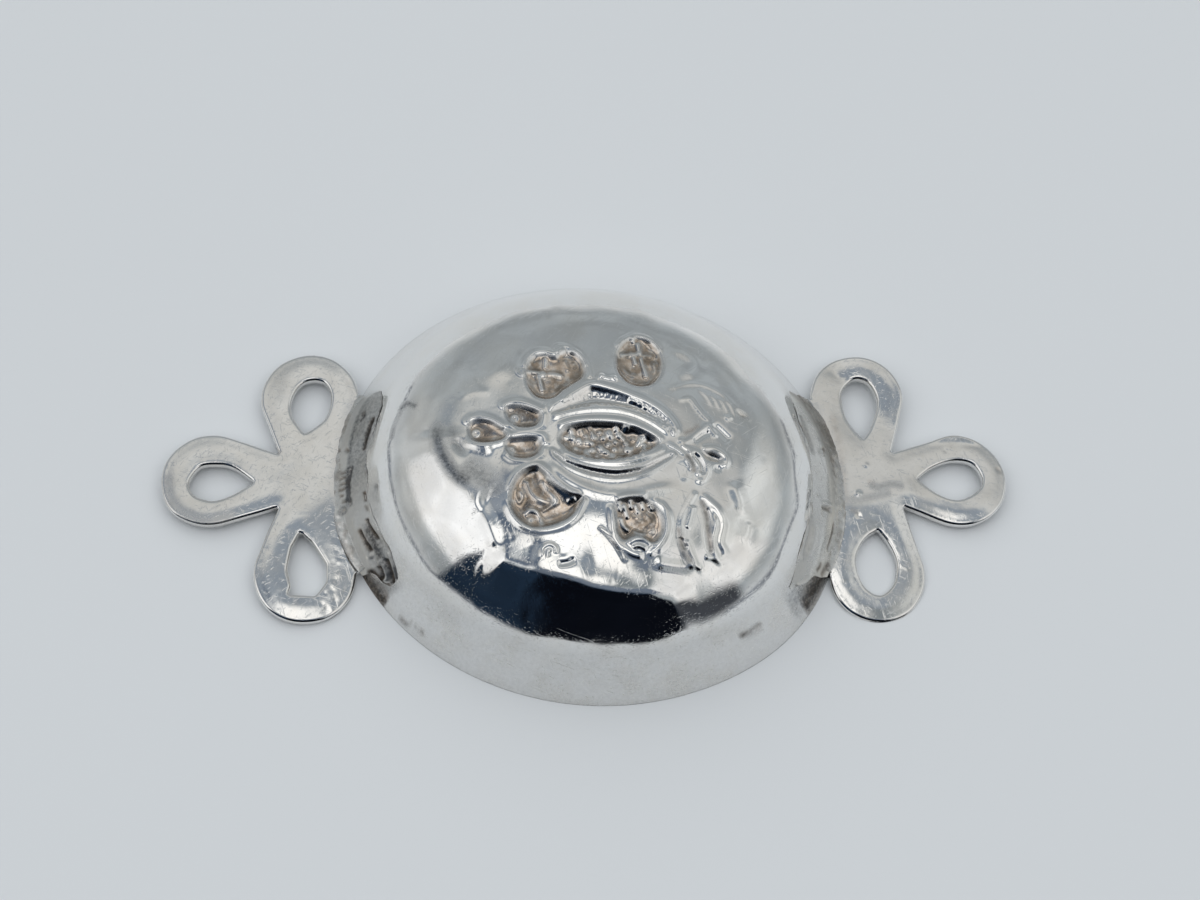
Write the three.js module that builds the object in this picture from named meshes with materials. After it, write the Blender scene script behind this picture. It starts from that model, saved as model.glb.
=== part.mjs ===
// A small silver porringer: a hand-raised oval bowl with a chased fruit ornament and two pierced
// trefoil handles, lying mouth down on its rim.
//
// Millimetres. The origin is on the plane of the rim, half way between the two handle tips.
// X runs along the handles, Y from the front to the back, Z up through the underside of the bowl.

import * as THREE from "three";
import { mergeVertices } from "three/addons/utils/BufferGeometryUtils.js";

const degree = Math.PI / 180;

// Bowl: one oval sheet, a little out of true to the handles, with a slight bulge at the front right
const bowlCentreX = 0.3;
const bowlHalfLength = 39.4;
const bowlHalfWidth = 35.3;
const bowlTurn = -10.4 * degree;
const bulgeDepth = 0.6;
const bulgeAngle = -38 * degree;
const bulgeSpread = 20 * degree;
const sheetThickness = 1.0;

// Bowl section at its mean radius: a shallow dome, a tight shoulder and a nearly straight wall
const meanRadius = 37.3;
const domeReach = 20;
const shoulderReach = 31.8;
const domeSlope = 9 * degree;
const shoulderSlope = 57.5 * degree;
const rimSlope = 61.5 * degree;

// Steps of the faces, and how closely heights and shared points are matched
const bowlSegments = 84;
const domeSteps = 18;
const shoulderSteps = 6;
const wallSteps = 2;
const plateArcSteps = 8;
const plateRoundingSteps = 2;
const rootSteps = 12;
const jointSteps = 20;
const heightTolerance = 0.001;
const mergeTolerance = 1e-4;

// Handle plates and what joins them to the bowl
const plateBottom = 1.0;
const plateThickness = 1.5;
const plateRounding = 0.35;
const plateTop = plateBottom + plateThickness;
const seamGap = 0.3;

// Straps: thinner at their ends, rounded along the upper edge and at the front tip
const strapThickness = 0.8;
const strapEndThickness = 0.4;
const strapChamfer = 0.5;
const strapTipStart = 0.6;
const endTaperPower = 4;

// Solder: a hollow fillet on the plate, and a fine bead that stops short of the strap's ends
const filletLeg = 1.0;
const filletTaper = 0.6;
const filletToe = 0.15;
const filletHollow = { out: 0.35, up: 0.4 };
const beadLeg = 0.6;
const beadMargin = 0.1;

// Hand-cut plates, each side with its own lobes, notches and holes, as distances from the middle
const rightPlate = {
  side: 1,
  outer: { x: 58.2, y: 0.4, radius: 7.6 },
  back: { x: 43.0, y: 14.5, radius: 7.4 },
  front: { x: 44.3, y: -15.0, radius: 7.5 },
  backNotch: { x: 48.0, y: 5.1 },
  frontNotch: { x: 49.0, y: -4.0 },
  outerHole: { point: { x: 51.6, y: 0.4 }, far: { x: 58.6, y: 0.5 }, radius: 3.2, fullness: 0.2 },
  backHole: { point: { x: 43.3, y: 7.8 }, far: { x: 43.1, y: 15.0 }, radius: 2.9, fullness: 0.3 },
  frontHole: { point: { x: 44.6, y: -7.8 }, far: { x: 44.0, y: -15.3 }, radius: 3.1, fullness: 0.4 },
  rootFrom: -22.5 * degree,
  rootTo: 22.5 * degree,
  strapFrom: -33.5 * degree,
  strapTo: 23.5 * degree,
  strapTop: 9.9,
  strapFrontLift: 2.6,
  strapFrontDrop: 2.6,
};
const leftPlate = {
  side: -1,
  outer: { x: 58.2, y: 0.3, radius: 7.6 },
  back: { x: 43.6, y: 14.3, radius: 7.6 },
  front: { x: 43.3, y: -15.0, radius: 7.7 },
  backNotch: { x: 47.9, y: 4.6 },
  frontNotch: { x: 47.7, y: -4.3 },
  outerHole: { point: { x: 51.8, y: 0.1 }, far: { x: 58.3, y: 0.1 }, radius: 3.1, fullness: 0.3 },
  backHole: { point: { x: 44.6, y: 8.4 }, far: { x: 43.6, y: 14.8 }, radius: 3.05, fullness: 0.2 },
  frontHole: { point: { x: 44.2, y: -7.9 }, far: { x: 43.2, y: -15.5 }, radius: 2.9, fullness: 0.3 },
  rootFrom: 203 * degree,
  rootTo: 158 * degree,
  strapFrom: 211 * degree,
  strapTo: 157.5 * degree,
  strapTop: 8.2,
  strapFrontLift: 1.2,
  strapFrontDrop: 1.6,
};

// Chased ornament, as dishes sunk into the underside of the bowl
const fruits = [
  { x: -6.1, y: 10.8, halfLong: 4.9, halfWide: 4.3, turn: 30 * degree, depth: 1.3 },
  { x: 7.1, y: 13.3, halfLong: 4.5, halfWide: 3.8, turn: 90 * degree, depth: 1.3 },
  { x: -7.8, y: -9.4, halfLong: 5.4, halfWide: 4.3, turn: -20 * degree, depth: 1.4 },
  { x: 6.2, y: -13.1, halfLong: 4.2, halfWide: 4.0, turn: 0, depth: 1.3 },
];
const buds = [
  { x: -10.6, y: 3.9, halfLong: 3.1, halfWide: 1.9, turn: -15 * degree, depth: 0.8 },
  { x: -15.7, y: 1.6, halfLong: 3.3, halfWide: 2.0, turn: -15 * degree, depth: 0.9 },
  { x: -10.3, y: -1.3, halfLong: 2.8, halfWide: 1.6, turn: 0, depth: 0.8 },
];
const splitPod = [
  { x: 2.3, y: 5.6, halfLong: 8.5, halfWide: 2.2, turn: -14 * degree, depth: 0.9 },
  { x: 2.0, y: -0.5, halfLong: 7.6, halfWide: 2.9, turn: 0, depth: 1.3 },
  { x: 2.8, y: -5.2, halfLong: 8.4, halfWide: 1.2, turn: 5 * degree, depth: 0.5 },
];
const leaves = [
  { x: 14.4, y: -14.2, halfLong: 5.3, halfWide: 1.7, turn: 95 * degree, depth: 0.5 },
  { x: 17.6, y: -13.6, halfLong: 5.2, halfWide: 1.3, turn: 100 * degree, depth: 0.5 },
  { x: 18.0, y: -2.6, halfLong: 1.9, halfWide: 1.3, turn: -10 * degree, depth: 0.5 },
  { x: 17.0, y: 5.8, halfLong: 5.5, halfWide: 3.0, turn: -20 * degree, depth: 0.4 },
];
const ornament = [...fruits, ...buds, ...splitPod, ...leaves];
const dishFloor = 0.5;

// Materials: worn silver, and the greyer solder at its joints
const silver = new THREE.MeshStandardMaterial({ color: 0xc9c8c4, roughness: 0.22, metalness: 1.0 });
const solder = new THREE.MeshStandardMaterial({ color: 0x9b9890, roughness: 0.45, metalness: 1.0 });

// Section of the bowl

function arcBetween(fromReach, toReach, fromSlope, toSlope) {
  const radius = (toReach - fromReach) / (Math.sin(toSlope) - Math.sin(fromSlope));
  return { fromReach, toReach, fromSlope, radius };
}

const sectionArcs = [
  arcBetween(0, domeReach, 0, domeSlope),
  arcBetween(domeReach, shoulderReach, domeSlope, shoulderSlope),
  arcBetween(shoulderReach, meanRadius, shoulderSlope, rimSlope),
];

// How far the section has dropped below the top of the dome, and its slope there
function sectionAt(reach) {
  let drop = 0;
  let slope = 0;
  for (const arc of sectionArcs) {
    if (reach < arc.fromReach) break;
    const end = Math.min(reach, arc.toReach);
    slope = Math.asin(Math.sin(arc.fromSlope) + (end - arc.fromReach) / arc.radius);
    drop += arc.radius * (Math.cos(arc.fromSlope) - Math.cos(slope));
  }
  return { drop, slope };
}

const bowlHeight = sectionAt(meanRadius).drop;

// Reach at which the outer wall stands at a given height, found by halving
function reachAtHeight(height) {
  let near = 0;
  let far = meanRadius;
  while (far - near > heightTolerance) {
    const middle = (near + far) / 2;
    if (bowlHeight - sectionAt(middle).drop > height) near = middle;
    else far = middle;
  }
  return near;
}

// Plan of the bowl

function rimRadius(angle) {
  const turned = angle - bowlTurn;
  const oval = 1 / Math.hypot(Math.cos(turned) / bowlHalfLength, Math.sin(turned) / bowlHalfWidth);
  const fromBulge = Math.atan2(Math.sin(angle - bulgeAngle), Math.cos(angle - bulgeAngle)) / bulgeSpread;
  return oval + bulgeDepth * Math.exp(-fromBulge * fromBulge);
}

// A point at some distance from the bowl's middle, at a height
function fromMiddle(angle, distance, height) {
  return new THREE.Vector3(bowlCentreX + distance * Math.cos(angle), distance * Math.sin(angle), height);
}

// A point over the outer face: its angle, its reach along the section and its lift off the face
function overBowl(angle, reach, lift) {
  const { drop, slope } = sectionAt(reach);
  const distance = (reach / meanRadius) * rimRadius(angle) + lift * Math.sin(slope);
  return fromMiddle(angle, distance, bowlHeight - drop + lift * Math.cos(slope));
}

// Distance of the outer wall from the bowl's middle at a height
function wallDistance(angle, height) {
  return (reachAtHeight(height) / meanRadius) * rimRadius(angle);
}

// How far the ornament is sunk: a dish's full depth on its floor, rising smoothly to its edge
function sunkAt(x, y) {
  let sunk = 0;
  for (const dish of ornament) {
    const along = (x - dish.x) * Math.cos(dish.turn) + (y - dish.y) * Math.sin(dish.turn);
    const across = (y - dish.y) * Math.cos(dish.turn) - (x - dish.x) * Math.sin(dish.turn);
    const out = Math.hypot(along / dish.halfLong, across / dish.halfWide);
    sunk = Math.max(sunk, dish.depth * (1 - THREE.MathUtils.smoothstep(out, dishFloor, 1)));
  }
  return sunk;
}

// Closed bodies from rings and sections

function bodyFrom(points, triangles) {
  const geometry = new THREE.BufferGeometry();
  geometry.setAttribute("position", new THREE.Float32BufferAttribute(points.flatMap((p) => p.toArray()), 3));
  geometry.setIndex(triangles);
  const merged = mergeVertices(geometry, mergeTolerance);
  merged.computeVertexNormals();
  return merged;
}

// A closed body from rings of equal count between a first and a last point
function bodyOfRings(firstPoint, rings, lastPoint) {
  const count = rings[0].length;
  const points = [firstPoint, ...rings.flat(), lastPoint];
  const last = points.length - 1;
  const triangles = [];
  for (let i = 0; i < count; i++) {
    const next = (i + 1) % count;
    triangles.push(0, 1 + i, 1 + next);
    for (let ring = 0; ring < rings.length - 1; ring++) {
      const here = 1 + ring * count;
      const below = here + count;
      triangles.push(here + i, below + i, below + next, here + i, below + next, here + next);
    }
    const end = 1 + (rings.length - 1) * count;
    triangles.push(end + i, last, end + next);
  }
  return bodyFrom(points, triangles);
}

// A closed body from equal sections in a row, its ends fanned from each section's first point
function bodyOfSections(sections) {
  const count = sections[0].length;
  const triangles = [];
  for (let s = 0; s < sections.length - 1; s++) {
    for (let i = 0; i < count; i++) {
      const a = s * count + i;
      const b = s * count + ((i + 1) % count);
      triangles.push(a, b + count, b, a, a + count, b + count);
    }
  }
  const end = (sections.length - 1) * count;
  for (let i = 1; i < count - 1; i++) {
    triangles.push(0, i, i + 1);
    triangles.push(end, end + i + 1, end + i);
  }
  return bodyFrom(sections.flat(), triangles);
}

// Bowl

function bowlReaches() {
  const reaches = [];
  for (const [from, to, steps] of [
    [0, domeReach, domeSteps],
    [domeReach, shoulderReach, shoulderSteps],
    [shoulderReach, meanRadius, wallSteps],
  ]) {
    for (let i = 1; i <= steps; i++) reaches.push(from + ((to - from) * i) / steps);
  }
  return reaches;
}

// One ring of the sheet, on its outer or inner face, following the ornament
function sheetRing(reach, depth) {
  const ring = [];
  for (let i = 0; i < bowlSegments; i++) {
    const angle = (2 * Math.PI * i) / bowlSegments;
    const plain = overBowl(angle, reach, 0);
    ring.push(overBowl(angle, reach, -sunkAt(plain.x, plain.y) - depth));
  }
  return ring;
}

// The inner edge of the flat rim, where the inner face meets the rim's plane
function innerRimRing() {
  const ring = [];
  const edgeWidth = sheetThickness / Math.sin(rimSlope);
  for (let i = 0; i < bowlSegments; i++) {
    const angle = (2 * Math.PI * i) / bowlSegments;
    ring.push(fromMiddle(angle, rimRadius(angle) - edgeWidth, 0));
  }
  return ring;
}

function bowl() {
  const reaches = bowlReaches();
  const outerRings = reaches.map((reach) => sheetRing(reach, 0));
  const innerRings = reaches.slice(0, -1).map((reach) => sheetRing(reach, sheetThickness));
  const rings = [...outerRings, innerRimRing(), ...innerRings.reverse()];
  const middleSunk = sunkAt(bowlCentreX, 0);
  const top = fromMiddle(0, 0, bowlHeight - middleSunk);
  const bottom = fromMiddle(0, 0, bowlHeight - middleSunk - sheetThickness);
  return bodyOfRings(top, rings, bottom);
}

// Handle plates

// The angle, seen from a round's middle, of the point where a line from outside just touches it
function touchAngle(round, from, turnSign) {
  const distance = Math.hypot(from.x - round.x, from.y - round.y);
  const towards = Math.atan2(from.y - round.y, from.x - round.x);
  return towards + turnSign * Math.acos(round.radius / distance);
}

// Outline of a plate, drawn on the right: front lobe, outer lobe and back lobe, with two notches
function plateShape(plate) {
  const { front, outer, back, frontNotch, backNotch } = plate;
  const shape = new THREE.Shape();
  const frontStart = fromMiddle(plate.rootFrom, rootDistance(plate.rootFrom), 0);
  const startAngle = Math.atan2(frontStart.y - front.y, Math.abs(frontStart.x) - front.x);
  shape.absarc(front.x, front.y, front.radius, startAngle, touchAngle(front, frontNotch, -1), false);
  shape.lineTo(frontNotch.x, frontNotch.y);
  const outerStart = touchAngle(outer, frontNotch, 1);
  const outerEnd = touchAngle(outer, backNotch, -1);
  shape.absarc(outer.x, outer.y, outer.radius, outerStart, outerEnd, false);
  shape.lineTo(backNotch.x, backNotch.y);
  const backEnd = fromMiddle(plate.rootTo, rootDistance(plate.rootTo), 0);
  const endAngle = Math.atan2(backEnd.y - back.y, Math.abs(backEnd.x) - back.x);
  shape.absarc(back.x, back.y, back.radius, touchAngle(back, backNotch, 1), endAngle, false);
  addRoot(shape, plate);
  return shape;
}

// The plate's root stands clear of the widest part of the wall beside it
function rootDistance(angle) {
  return wallDistance(angle, plateBottom) + seamGap;
}

// The plate's inner edge, following the bowl's wall from the back lobe to the front lobe
function addRoot(shape, plate) {
  for (let i = 0; i <= rootSteps; i++) {
    const angle = plate.rootTo + ((plate.rootFrom - plate.rootTo) * i) / rootSteps;
    const edge = fromMiddle(angle, rootDistance(angle), 0);
    shape.lineTo(Math.abs(edge.x), edge.y);
  }
}

// A teardrop hole: a point, two slightly full sides, and a round at its far end that they run into
function teardrop({ point, far, radius, fullness }) {
  const round = { x: far.x, y: far.y, radius };
  const start = touchAngle(round, point, 1);
  const end = touchAngle(round, point, -1);
  const hole = new THREE.Path();
  hole.moveTo(point.x, point.y);
  addFullSide(hole, point, onRound(round, start), fullness);
  hole.absarc(far.x, far.y, radius, start, end, false);
  addFullSide(hole, onRound(round, end), point, fullness);
  return hole;
}

function onRound(round, angle) {
  return { x: round.x + round.radius * Math.cos(angle), y: round.y + round.radius * Math.sin(angle) };
}

// A side that swells to its right by the fullness as it runs
function addFullSide(path, from, to, fullness) {
  const length = Math.hypot(to.x - from.x, to.y - from.y);
  const swellX = ((to.y - from.y) / length) * 2 * fullness;
  const swellY = (-(to.x - from.x) / length) * 2 * fullness;
  path.quadraticCurveTo((from.x + to.x) / 2 + swellX, (from.y + to.y) / 2 + swellY, to.x, to.y);
}

function handlePlate(plate) {
  const shape = plateShape(plate);
  shape.holes.push(teardrop(plate.outerHole), teardrop(plate.backHole), teardrop(plate.frontHole));
  const geometry = new THREE.ExtrudeGeometry(shape, {
    depth: plateThickness - 2 * plateRounding,
    curveSegments: plateArcSteps,
    bevelThickness: plateRounding,
    bevelSize: plateRounding,
    bevelOffset: -plateRounding,
    bevelSegments: plateRoundingSteps,
  });
  geometry.translate(0, 0, plateBottom + plateRounding);
  if (plate.side < 0) geometry.rotateY(Math.PI).translate(0, 0, plateBottom + plateTop);
  return geometry;
}

// Straps and solder along the joint of a plate and the bowl

// Sections in a row along a joint; the share runs from -1 at the front to 1 at the back
function alongJoint(from, to, sectionAtShare) {
  const sections = [];
  for (let i = 0; i <= jointSteps; i++) {
    const share = (2 * i) / jointSteps - 1;
    const angle = from + ((to - from) * i) / jointSteps;
    const place = ([out, height]) => fromMiddle(angle, wallDistance(angle, height) + out, height);
    sections.push(sectionAtShare(share, angle).map(place));
  }
  return from < to ? sections : sections.reverse();
}

// How much of a strap's rounded front tip is reached: 0 along most of it, 1 at the tip itself
function frontTip(share) {
  return Math.max(0, (-share - strapTipStart) / (1 - strapTipStart)) ** 2;
}

// Height of a strap's upper edge: level, then rounding down at its front tip
function strapEdge(plate, share) {
  return plate.strapTop - plate.strapFrontDrop * frontTip(share);
}

// The strap that lies against the bowl's wall and carries the plate's root: cut off square at the
// back, and rising off the plate in a rounded tip at the front
function strap(plate) {
  return bodyOfSections(
    alongJoint(plate.strapFrom, plate.strapTo, (share) => {
      const fullness = 1 - share ** endTaperPower;
      const thickness = strapEndThickness + (strapThickness - strapEndThickness) * fullness;
      const chamfer = strapChamfer * thickness;
      const foot = plateTop + seamGap + plate.strapFrontLift * frontTip(share);
      const edge = strapEdge(plate, share);
      return [
        [seamGap, foot],
        [seamGap + thickness, foot],
        [seamGap + thickness, edge - chamfer],
        [seamGap + thickness - chamfer, edge],
        [seamGap, edge],
      ];
    })
  );
}

// The solder fillet in the corner between the strap and the plate
function fillet(plate) {
  const foot = plateTop + seamGap;
  return bodyOfSections(
    alongJoint(plate.rootFrom, plate.rootTo, (share) => {
      const leg = filletLeg * (1 - filletTaper * share ** endTaperPower);
      const start = 2 * seamGap + strapThickness;
      return [
        [start, foot],
        [start + leg, foot],
        [start + leg, foot + filletToe],
        [start + filletHollow.out * leg, foot + filletHollow.up * leg],
        [start, foot + leg],
      ];
    })
  );
}

// The fine solder seam along the strap's upper edge
function bead(plate) {
  const length = plate.strapTo - plate.strapFrom;
  const from = plate.strapFrom + length * beadMargin;
  const to = plate.strapTo - length * beadMargin;
  return bodyOfSections(
    alongJoint(from, to, (share) => {
      const foot = strapEdge(plate, share * (1 - 2 * beadMargin)) + seamGap;
      return [
        [seamGap, foot],
        [seamGap + beadLeg, foot],
        [seamGap, foot + beadLeg],
      ];
    })
  );
}

// The whole piece

function piece(name, geometry, material) {
  const mesh = new THREE.Mesh(geometry, material);
  mesh.name = name;
  return mesh;
}

const group = new THREE.Group();
group.add(piece("bowl", bowl(), silver));
for (const [side, plate] of [
  ["left", leftPlate],
  ["right", rightPlate],
]) {
  group.add(piece(`${side}_handle`, handlePlate(plate), silver));
  group.add(piece(`${side}_strap`, strap(plate), silver));
  group.add(piece(`${side}_handle_solder`, fillet(plate), solder));
  group.add(piece(`${side}_strap_solder`, bead(plate), solder));
}

export default group;
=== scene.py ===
# A small silver porringer lying mouth down on a pale table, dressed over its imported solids.
#
# Lengths are millimetres in the part's own frame, and turn to metres when a mesh is made. The
# origin is on the plane of the rim, half way between the handle tips, with X along the handles,
# Y from the front to the back and Z up through the underside of the bowl.

import math

import bpy
import numpy as np
from mathutils import Matrix, Vector
from mathutils.geometry import delaunay_2d_cdt


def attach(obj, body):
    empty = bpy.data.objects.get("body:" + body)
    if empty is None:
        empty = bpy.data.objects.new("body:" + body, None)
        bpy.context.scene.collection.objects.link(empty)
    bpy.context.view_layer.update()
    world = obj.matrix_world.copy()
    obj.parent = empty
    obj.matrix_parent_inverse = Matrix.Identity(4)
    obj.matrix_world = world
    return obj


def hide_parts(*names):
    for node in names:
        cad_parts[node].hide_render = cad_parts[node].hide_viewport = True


MM = 0.001
DEGREE = math.pi / 180

# Camera, as the rim and both handles give it
CAMERA_ELEVATION = 65.38 * DEGREE
CAMERA_AZIMUTH = -8.45 * DEGREE
CAMERA_ROLL = 7.81 * DEGREE
CAMERA_DISTANCE = 305.7
CAMERA_TARGET = (1.983, 6.443, 0.0)
CAMERA_LENS = 58.12
CAMERA_SENSOR = 36.0

# Bowl: one oval sheet, a little out of true to the handles, with a slight bulge at the front right
BOWL_CENTRE_X = 0.3
BOWL_HALF_LENGTH = 39.4
BOWL_HALF_WIDTH = 35.3
BOWL_TURN = -10.4 * DEGREE
BULGE_DEPTH = 0.6
BULGE_ANGLE = -38 * DEGREE
BULGE_SPREAD = 20 * DEGREE
SHEET_THICKNESS = 1.0

# Bowl section at its mean radius: a shallow dome, a tight shoulder and a nearly straight wall
MEAN_RADIUS = 37.3
DOME_REACH = 20.0
SHOULDER_REACH = 31.8
DOME_SLOPE = 9 * DEGREE
SHOULDER_SLOPE = 57.5 * DEGREE
RIM_SLOPE = 61.5 * DEGREE

# Fineness of the bowl's mesh: around, over the ornament, over the wall, and inside
BOWL_SEGMENTS = 560
ORNAMENT_REACH = 24.5
ORNAMENT_STEP = 0.19
WALL_STEP = 0.5
INSIDE_SEGMENTS = 280
INSIDE_STEP = 1.2

# Handle plates: heights of their two faces, and their outlines, both drawn on the right
PLATE_BOTTOM = 1.0
PLATE_TOP = 2.5

RIGHT_PLATE = {
    "side": 1,
    "outer": (58.2, 0.4, 7.6),
    "back": (43.0, 14.5, 7.4),
    "front": (44.3, -15.0, 7.5),
    "back_notch": (48.0, 5.1),
    "front_notch": (49.0, -4.0),
    "holes": [
        [(51.7, 0.6), (54.2, 2.5), (57.7, 3.6), (60.7, 3.0), (62.0, 0.3), (60.8, -1.6), (57.9, -2.9),
         (54.7, -2.0)],
        [(43.6, 7.4), (41.4, 10.6), (40.7, 14.6), (41.5, 16.7), (43.2, 17.9), (45.3, 16.9), (46.3, 13.6),
         (45.0, 9.6)],
        [(44.8, -7.9), (42.6, -9.4), (41.0, -12.8), (42.0, -16.6), (44.5, -18.2), (46.8, -16.3),
         (47.4, -13.2), (46.4, -10.3)],
    ],
    "sawn_holes": [],
    "root_from": -22.5 * DEGREE,
    "root_to": 22.5 * DEGREE,
}
LEFT_PLATE = {
    "side": -1,
    "outer": (58.2, 0.3, 7.6),
    "back": (43.6, 14.3, 7.6),
    "front": (43.3, -15.0, 7.7),
    "back_notch": (47.9, 4.6),
    "front_notch": (47.7, -4.3),
    "holes": [
        [(51.6, -0.1), (55.0, 2.3), (57.5, 2.8), (59.9, 2.4), (61.4, -0.1), (60.7, -2.1), (59.0, -3.0),
         (57.0, -3.2), (54.4, -2.0)],
        [(44.2, 8.1), (46.1, 10.9), (46.4, 13.6), (45.3, 16.3), (43.3, 17.3), (41.3, 16.8), (40.3, 14.3),
         (40.9, 11.0), (42.9, 9.0)],
    ],
    "sawn_holes": [
        [(44.2, -8.4), (42.2, -10.2), (40.1, -13.5), (40.1, -16.0), (41.6, -18.4), (45.6, -18.2),
         (45.2, -16.9), (45.9, -14.3), (45.4, -10.7)],
    ],
    "root_from": 203 * DEGREE,
    "root_to": 158 * DEGREE,
}

# Straps: heights of their edges and their stand off the wall, along Y
RIGHT_STRAP = {
    "from": -33.5 * DEGREE,
    "to": 23.5 * DEGREE,
    "top": [(-20.5, 7.2), (-19.0, 8.0), (-17.0, 8.8), (-14.0, 9.3), (-9.0, 9.5), (0.0, 9.9), (8.0, 9.7),
            (12.0, 8.6), (14.0, 7.4), (15.5, 6.4)],
    "foot": [(-20.5, 6.6), (-18.0, 5.7), (-17.0, 5.2), (-16.3, 3.6), (-15.3, 2.0), (12.0, 2.0),
             (15.5, 5.0)],
    "seam": [(-20.5, 0.6), (-16.0, 0.9), (0.0, 1.0), (10.0, 0.9), (15.5, 0.5)],
    "lean": -0.06,
    "rise": 0.42,
}
LEFT_STRAP = {
    "from": 210.5 * DEGREE,
    "to": 157.5 * DEGREE,
    "top": [(-19.0, 5.0), (-18.0, 6.2), (-17.0, 7.0), (-15.0, 7.7), (-12.0, 7.6), (-8.0, 7.3),
            (-5.0, 7.3), (-3.0, 7.9), (-1.5, 8.0), (0.0, 7.7), (3.0, 7.9), (6.0, 8.7), (9.0, 9.2),
            (11.0, 9.1), (13.0, 8.0), (15.0, 6.0)],
    "foot": [(-19.0, 4.7), (-18.2, 4.0), (-17.0, 3.9), (-16.0, 4.0), (-15.3, 3.6), (-14.8, 2.0),
             (15.0, 2.0)],
    "seam": [(-19.0, 0.8), (-15.0, 1.3), (-8.0, 1.5), (5.0, 1.45), (12.0, 1.3), (15.0, 1.1)],
    "lean": 0.13,
    "rise": 0.33,
}

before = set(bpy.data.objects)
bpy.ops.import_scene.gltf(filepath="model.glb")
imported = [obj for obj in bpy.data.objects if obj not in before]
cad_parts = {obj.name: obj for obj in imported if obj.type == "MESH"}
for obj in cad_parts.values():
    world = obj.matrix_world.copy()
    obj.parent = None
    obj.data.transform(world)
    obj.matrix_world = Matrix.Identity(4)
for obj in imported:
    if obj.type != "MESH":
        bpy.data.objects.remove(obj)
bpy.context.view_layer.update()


# Curves and smooth steps
CURVE_STEPS = 6
HAMMER_WAVES = 28


def smooth_step(start, end, value):
    share = np.clip((value - start) / (end - start), 0, 1)
    return share * share * (3 - 2 * share)


def smooth_line(points, closed=False):
    """A smooth curve through the points, as a line of short straight pieces."""
    points = np.asarray(points, float)
    if closed:
        padded = np.vstack([points[-1:], points, points[:2]])
    else:
        padded = np.vstack([2 * points[0] - points[1], points, 2 * points[-1] - points[-2]])
    share = (np.arange(CURVE_STEPS) / CURVE_STEPS)[:, None]
    spans = []
    for before, start, end, after in zip(padded, padded[1:], padded[2:], padded[3:]):
        bend = 2 * before - 5 * start + 4 * end - after
        twist = after - before + 3 * (start - end)
        spans.append(0.5 * (2 * start + (end - before) * share + bend * share**2 + twist * share**3))
    if not closed:
        spans.append(points[-1:])
    return np.vstack(spans)


def evenly(line, spacing, closed=False):
    """Points along a line, about that far apart."""
    if closed:
        line = np.vstack([line, line[:1]])
    lengths = np.hypot(*np.diff(line, axis=0).T)
    along = np.concatenate([[0], np.cumsum(lengths)])
    count = max(2, round(along[-1] / spacing))
    wanted = np.linspace(0, along[-1], count, endpoint=not closed)
    return np.column_stack([np.interp(wanted, along, line[:, k]) for k in range(2)])


def line_distance(places, line, closed=False):
    """Distance of each place to the line, and how far along the line its nearest spot is."""
    if closed:
        line = np.vstack([line, line[:1]])
    start = line[:-1]
    step = line[1:] - start
    square = np.maximum((step**2).sum(axis=1), 1e-12)
    nearest = np.full(len(places), np.inf)
    share = np.zeros(len(places))
    for k in range(len(start)):
        along = np.clip(((places - start[k]) @ step[k]) / square[k], 0, 1)
        away = np.hypot(*(places - start[k] - along[:, None] * step[k]).T)
        closer = away < nearest
        nearest[closer] = away[closer]
        share[closer] = (k + along[closer]) / len(start)
    return nearest, share


def is_inside(places, outline):
    """True for each place inside the closed outline."""
    count = np.zeros(len(places), int)
    for (x0, y0), (x1, y1) in zip(outline, np.roll(outline, -1, axis=0)):
        if y0 == y1:
            continue
        crosses = (places[:, 1] >= min(y0, y1)) & (places[:, 1] < max(y0, y1))
        at = x0 + (places[:, 1] - y0) / (y1 - y0) * (x1 - x0)
        count += crosses & (places[:, 0] < at)
    return count % 2 == 1


def hammering(places, size, seed):
    """Smooth unevenness of about unit height: many gentle waves in all directions."""
    rng = np.random.default_rng(seed)
    height = np.zeros(len(places))
    for _ in range(HAMMER_WAVES):
        heading = rng.normal(size=places.shape[1])
        heading *= 2 * math.pi / (size * rng.uniform(0.7, 1.8) * np.linalg.norm(heading))
        height += np.sin(places @ heading + rng.uniform(0, 2 * math.pi))
    return height / math.sqrt(HAMMER_WAVES / 2)


# Section and plan of the bowl

def arc_between(start, end, start_slope, end_slope):
    radius = (end - start) / (math.sin(end_slope) - math.sin(start_slope))
    return start, end, start_slope, radius


SECTION_ARCS = [
    arc_between(0, DOME_REACH, 0, DOME_SLOPE),
    arc_between(DOME_REACH, SHOULDER_REACH, DOME_SLOPE, SHOULDER_SLOPE),
    arc_between(SHOULDER_REACH, MEAN_RADIUS, SHOULDER_SLOPE, RIM_SLOPE),
]


def section_at(reach):
    """How far the section has dropped below the top of the dome, and its slope there."""
    reach = np.asarray(reach, float)
    drop = np.zeros_like(reach)
    slope = np.zeros_like(reach)
    for start, end, start_slope, radius in SECTION_ARCS:
        here = np.arcsin(math.sin(start_slope) + (np.clip(reach, start, end) - start) / radius)
        passed = reach >= start
        drop = drop + np.where(passed, radius * (math.cos(start_slope) - np.cos(here)), 0)
        slope = np.where(passed, here, slope)
    return drop, slope


BOWL_HEIGHT = float(section_at(MEAN_RADIUS)[0])


def rim_radius(angle):
    turned = angle - BOWL_TURN
    oval = 1 / np.hypot(np.cos(turned) / BOWL_HALF_LENGTH, np.sin(turned) / BOWL_HALF_WIDTH)
    away = angle - BULGE_ANGLE
    from_bulge = np.arctan2(np.sin(away), np.cos(away)) / BULGE_SPREAD
    return oval + BULGE_DEPTH * np.exp(-(from_bulge**2))


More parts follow.
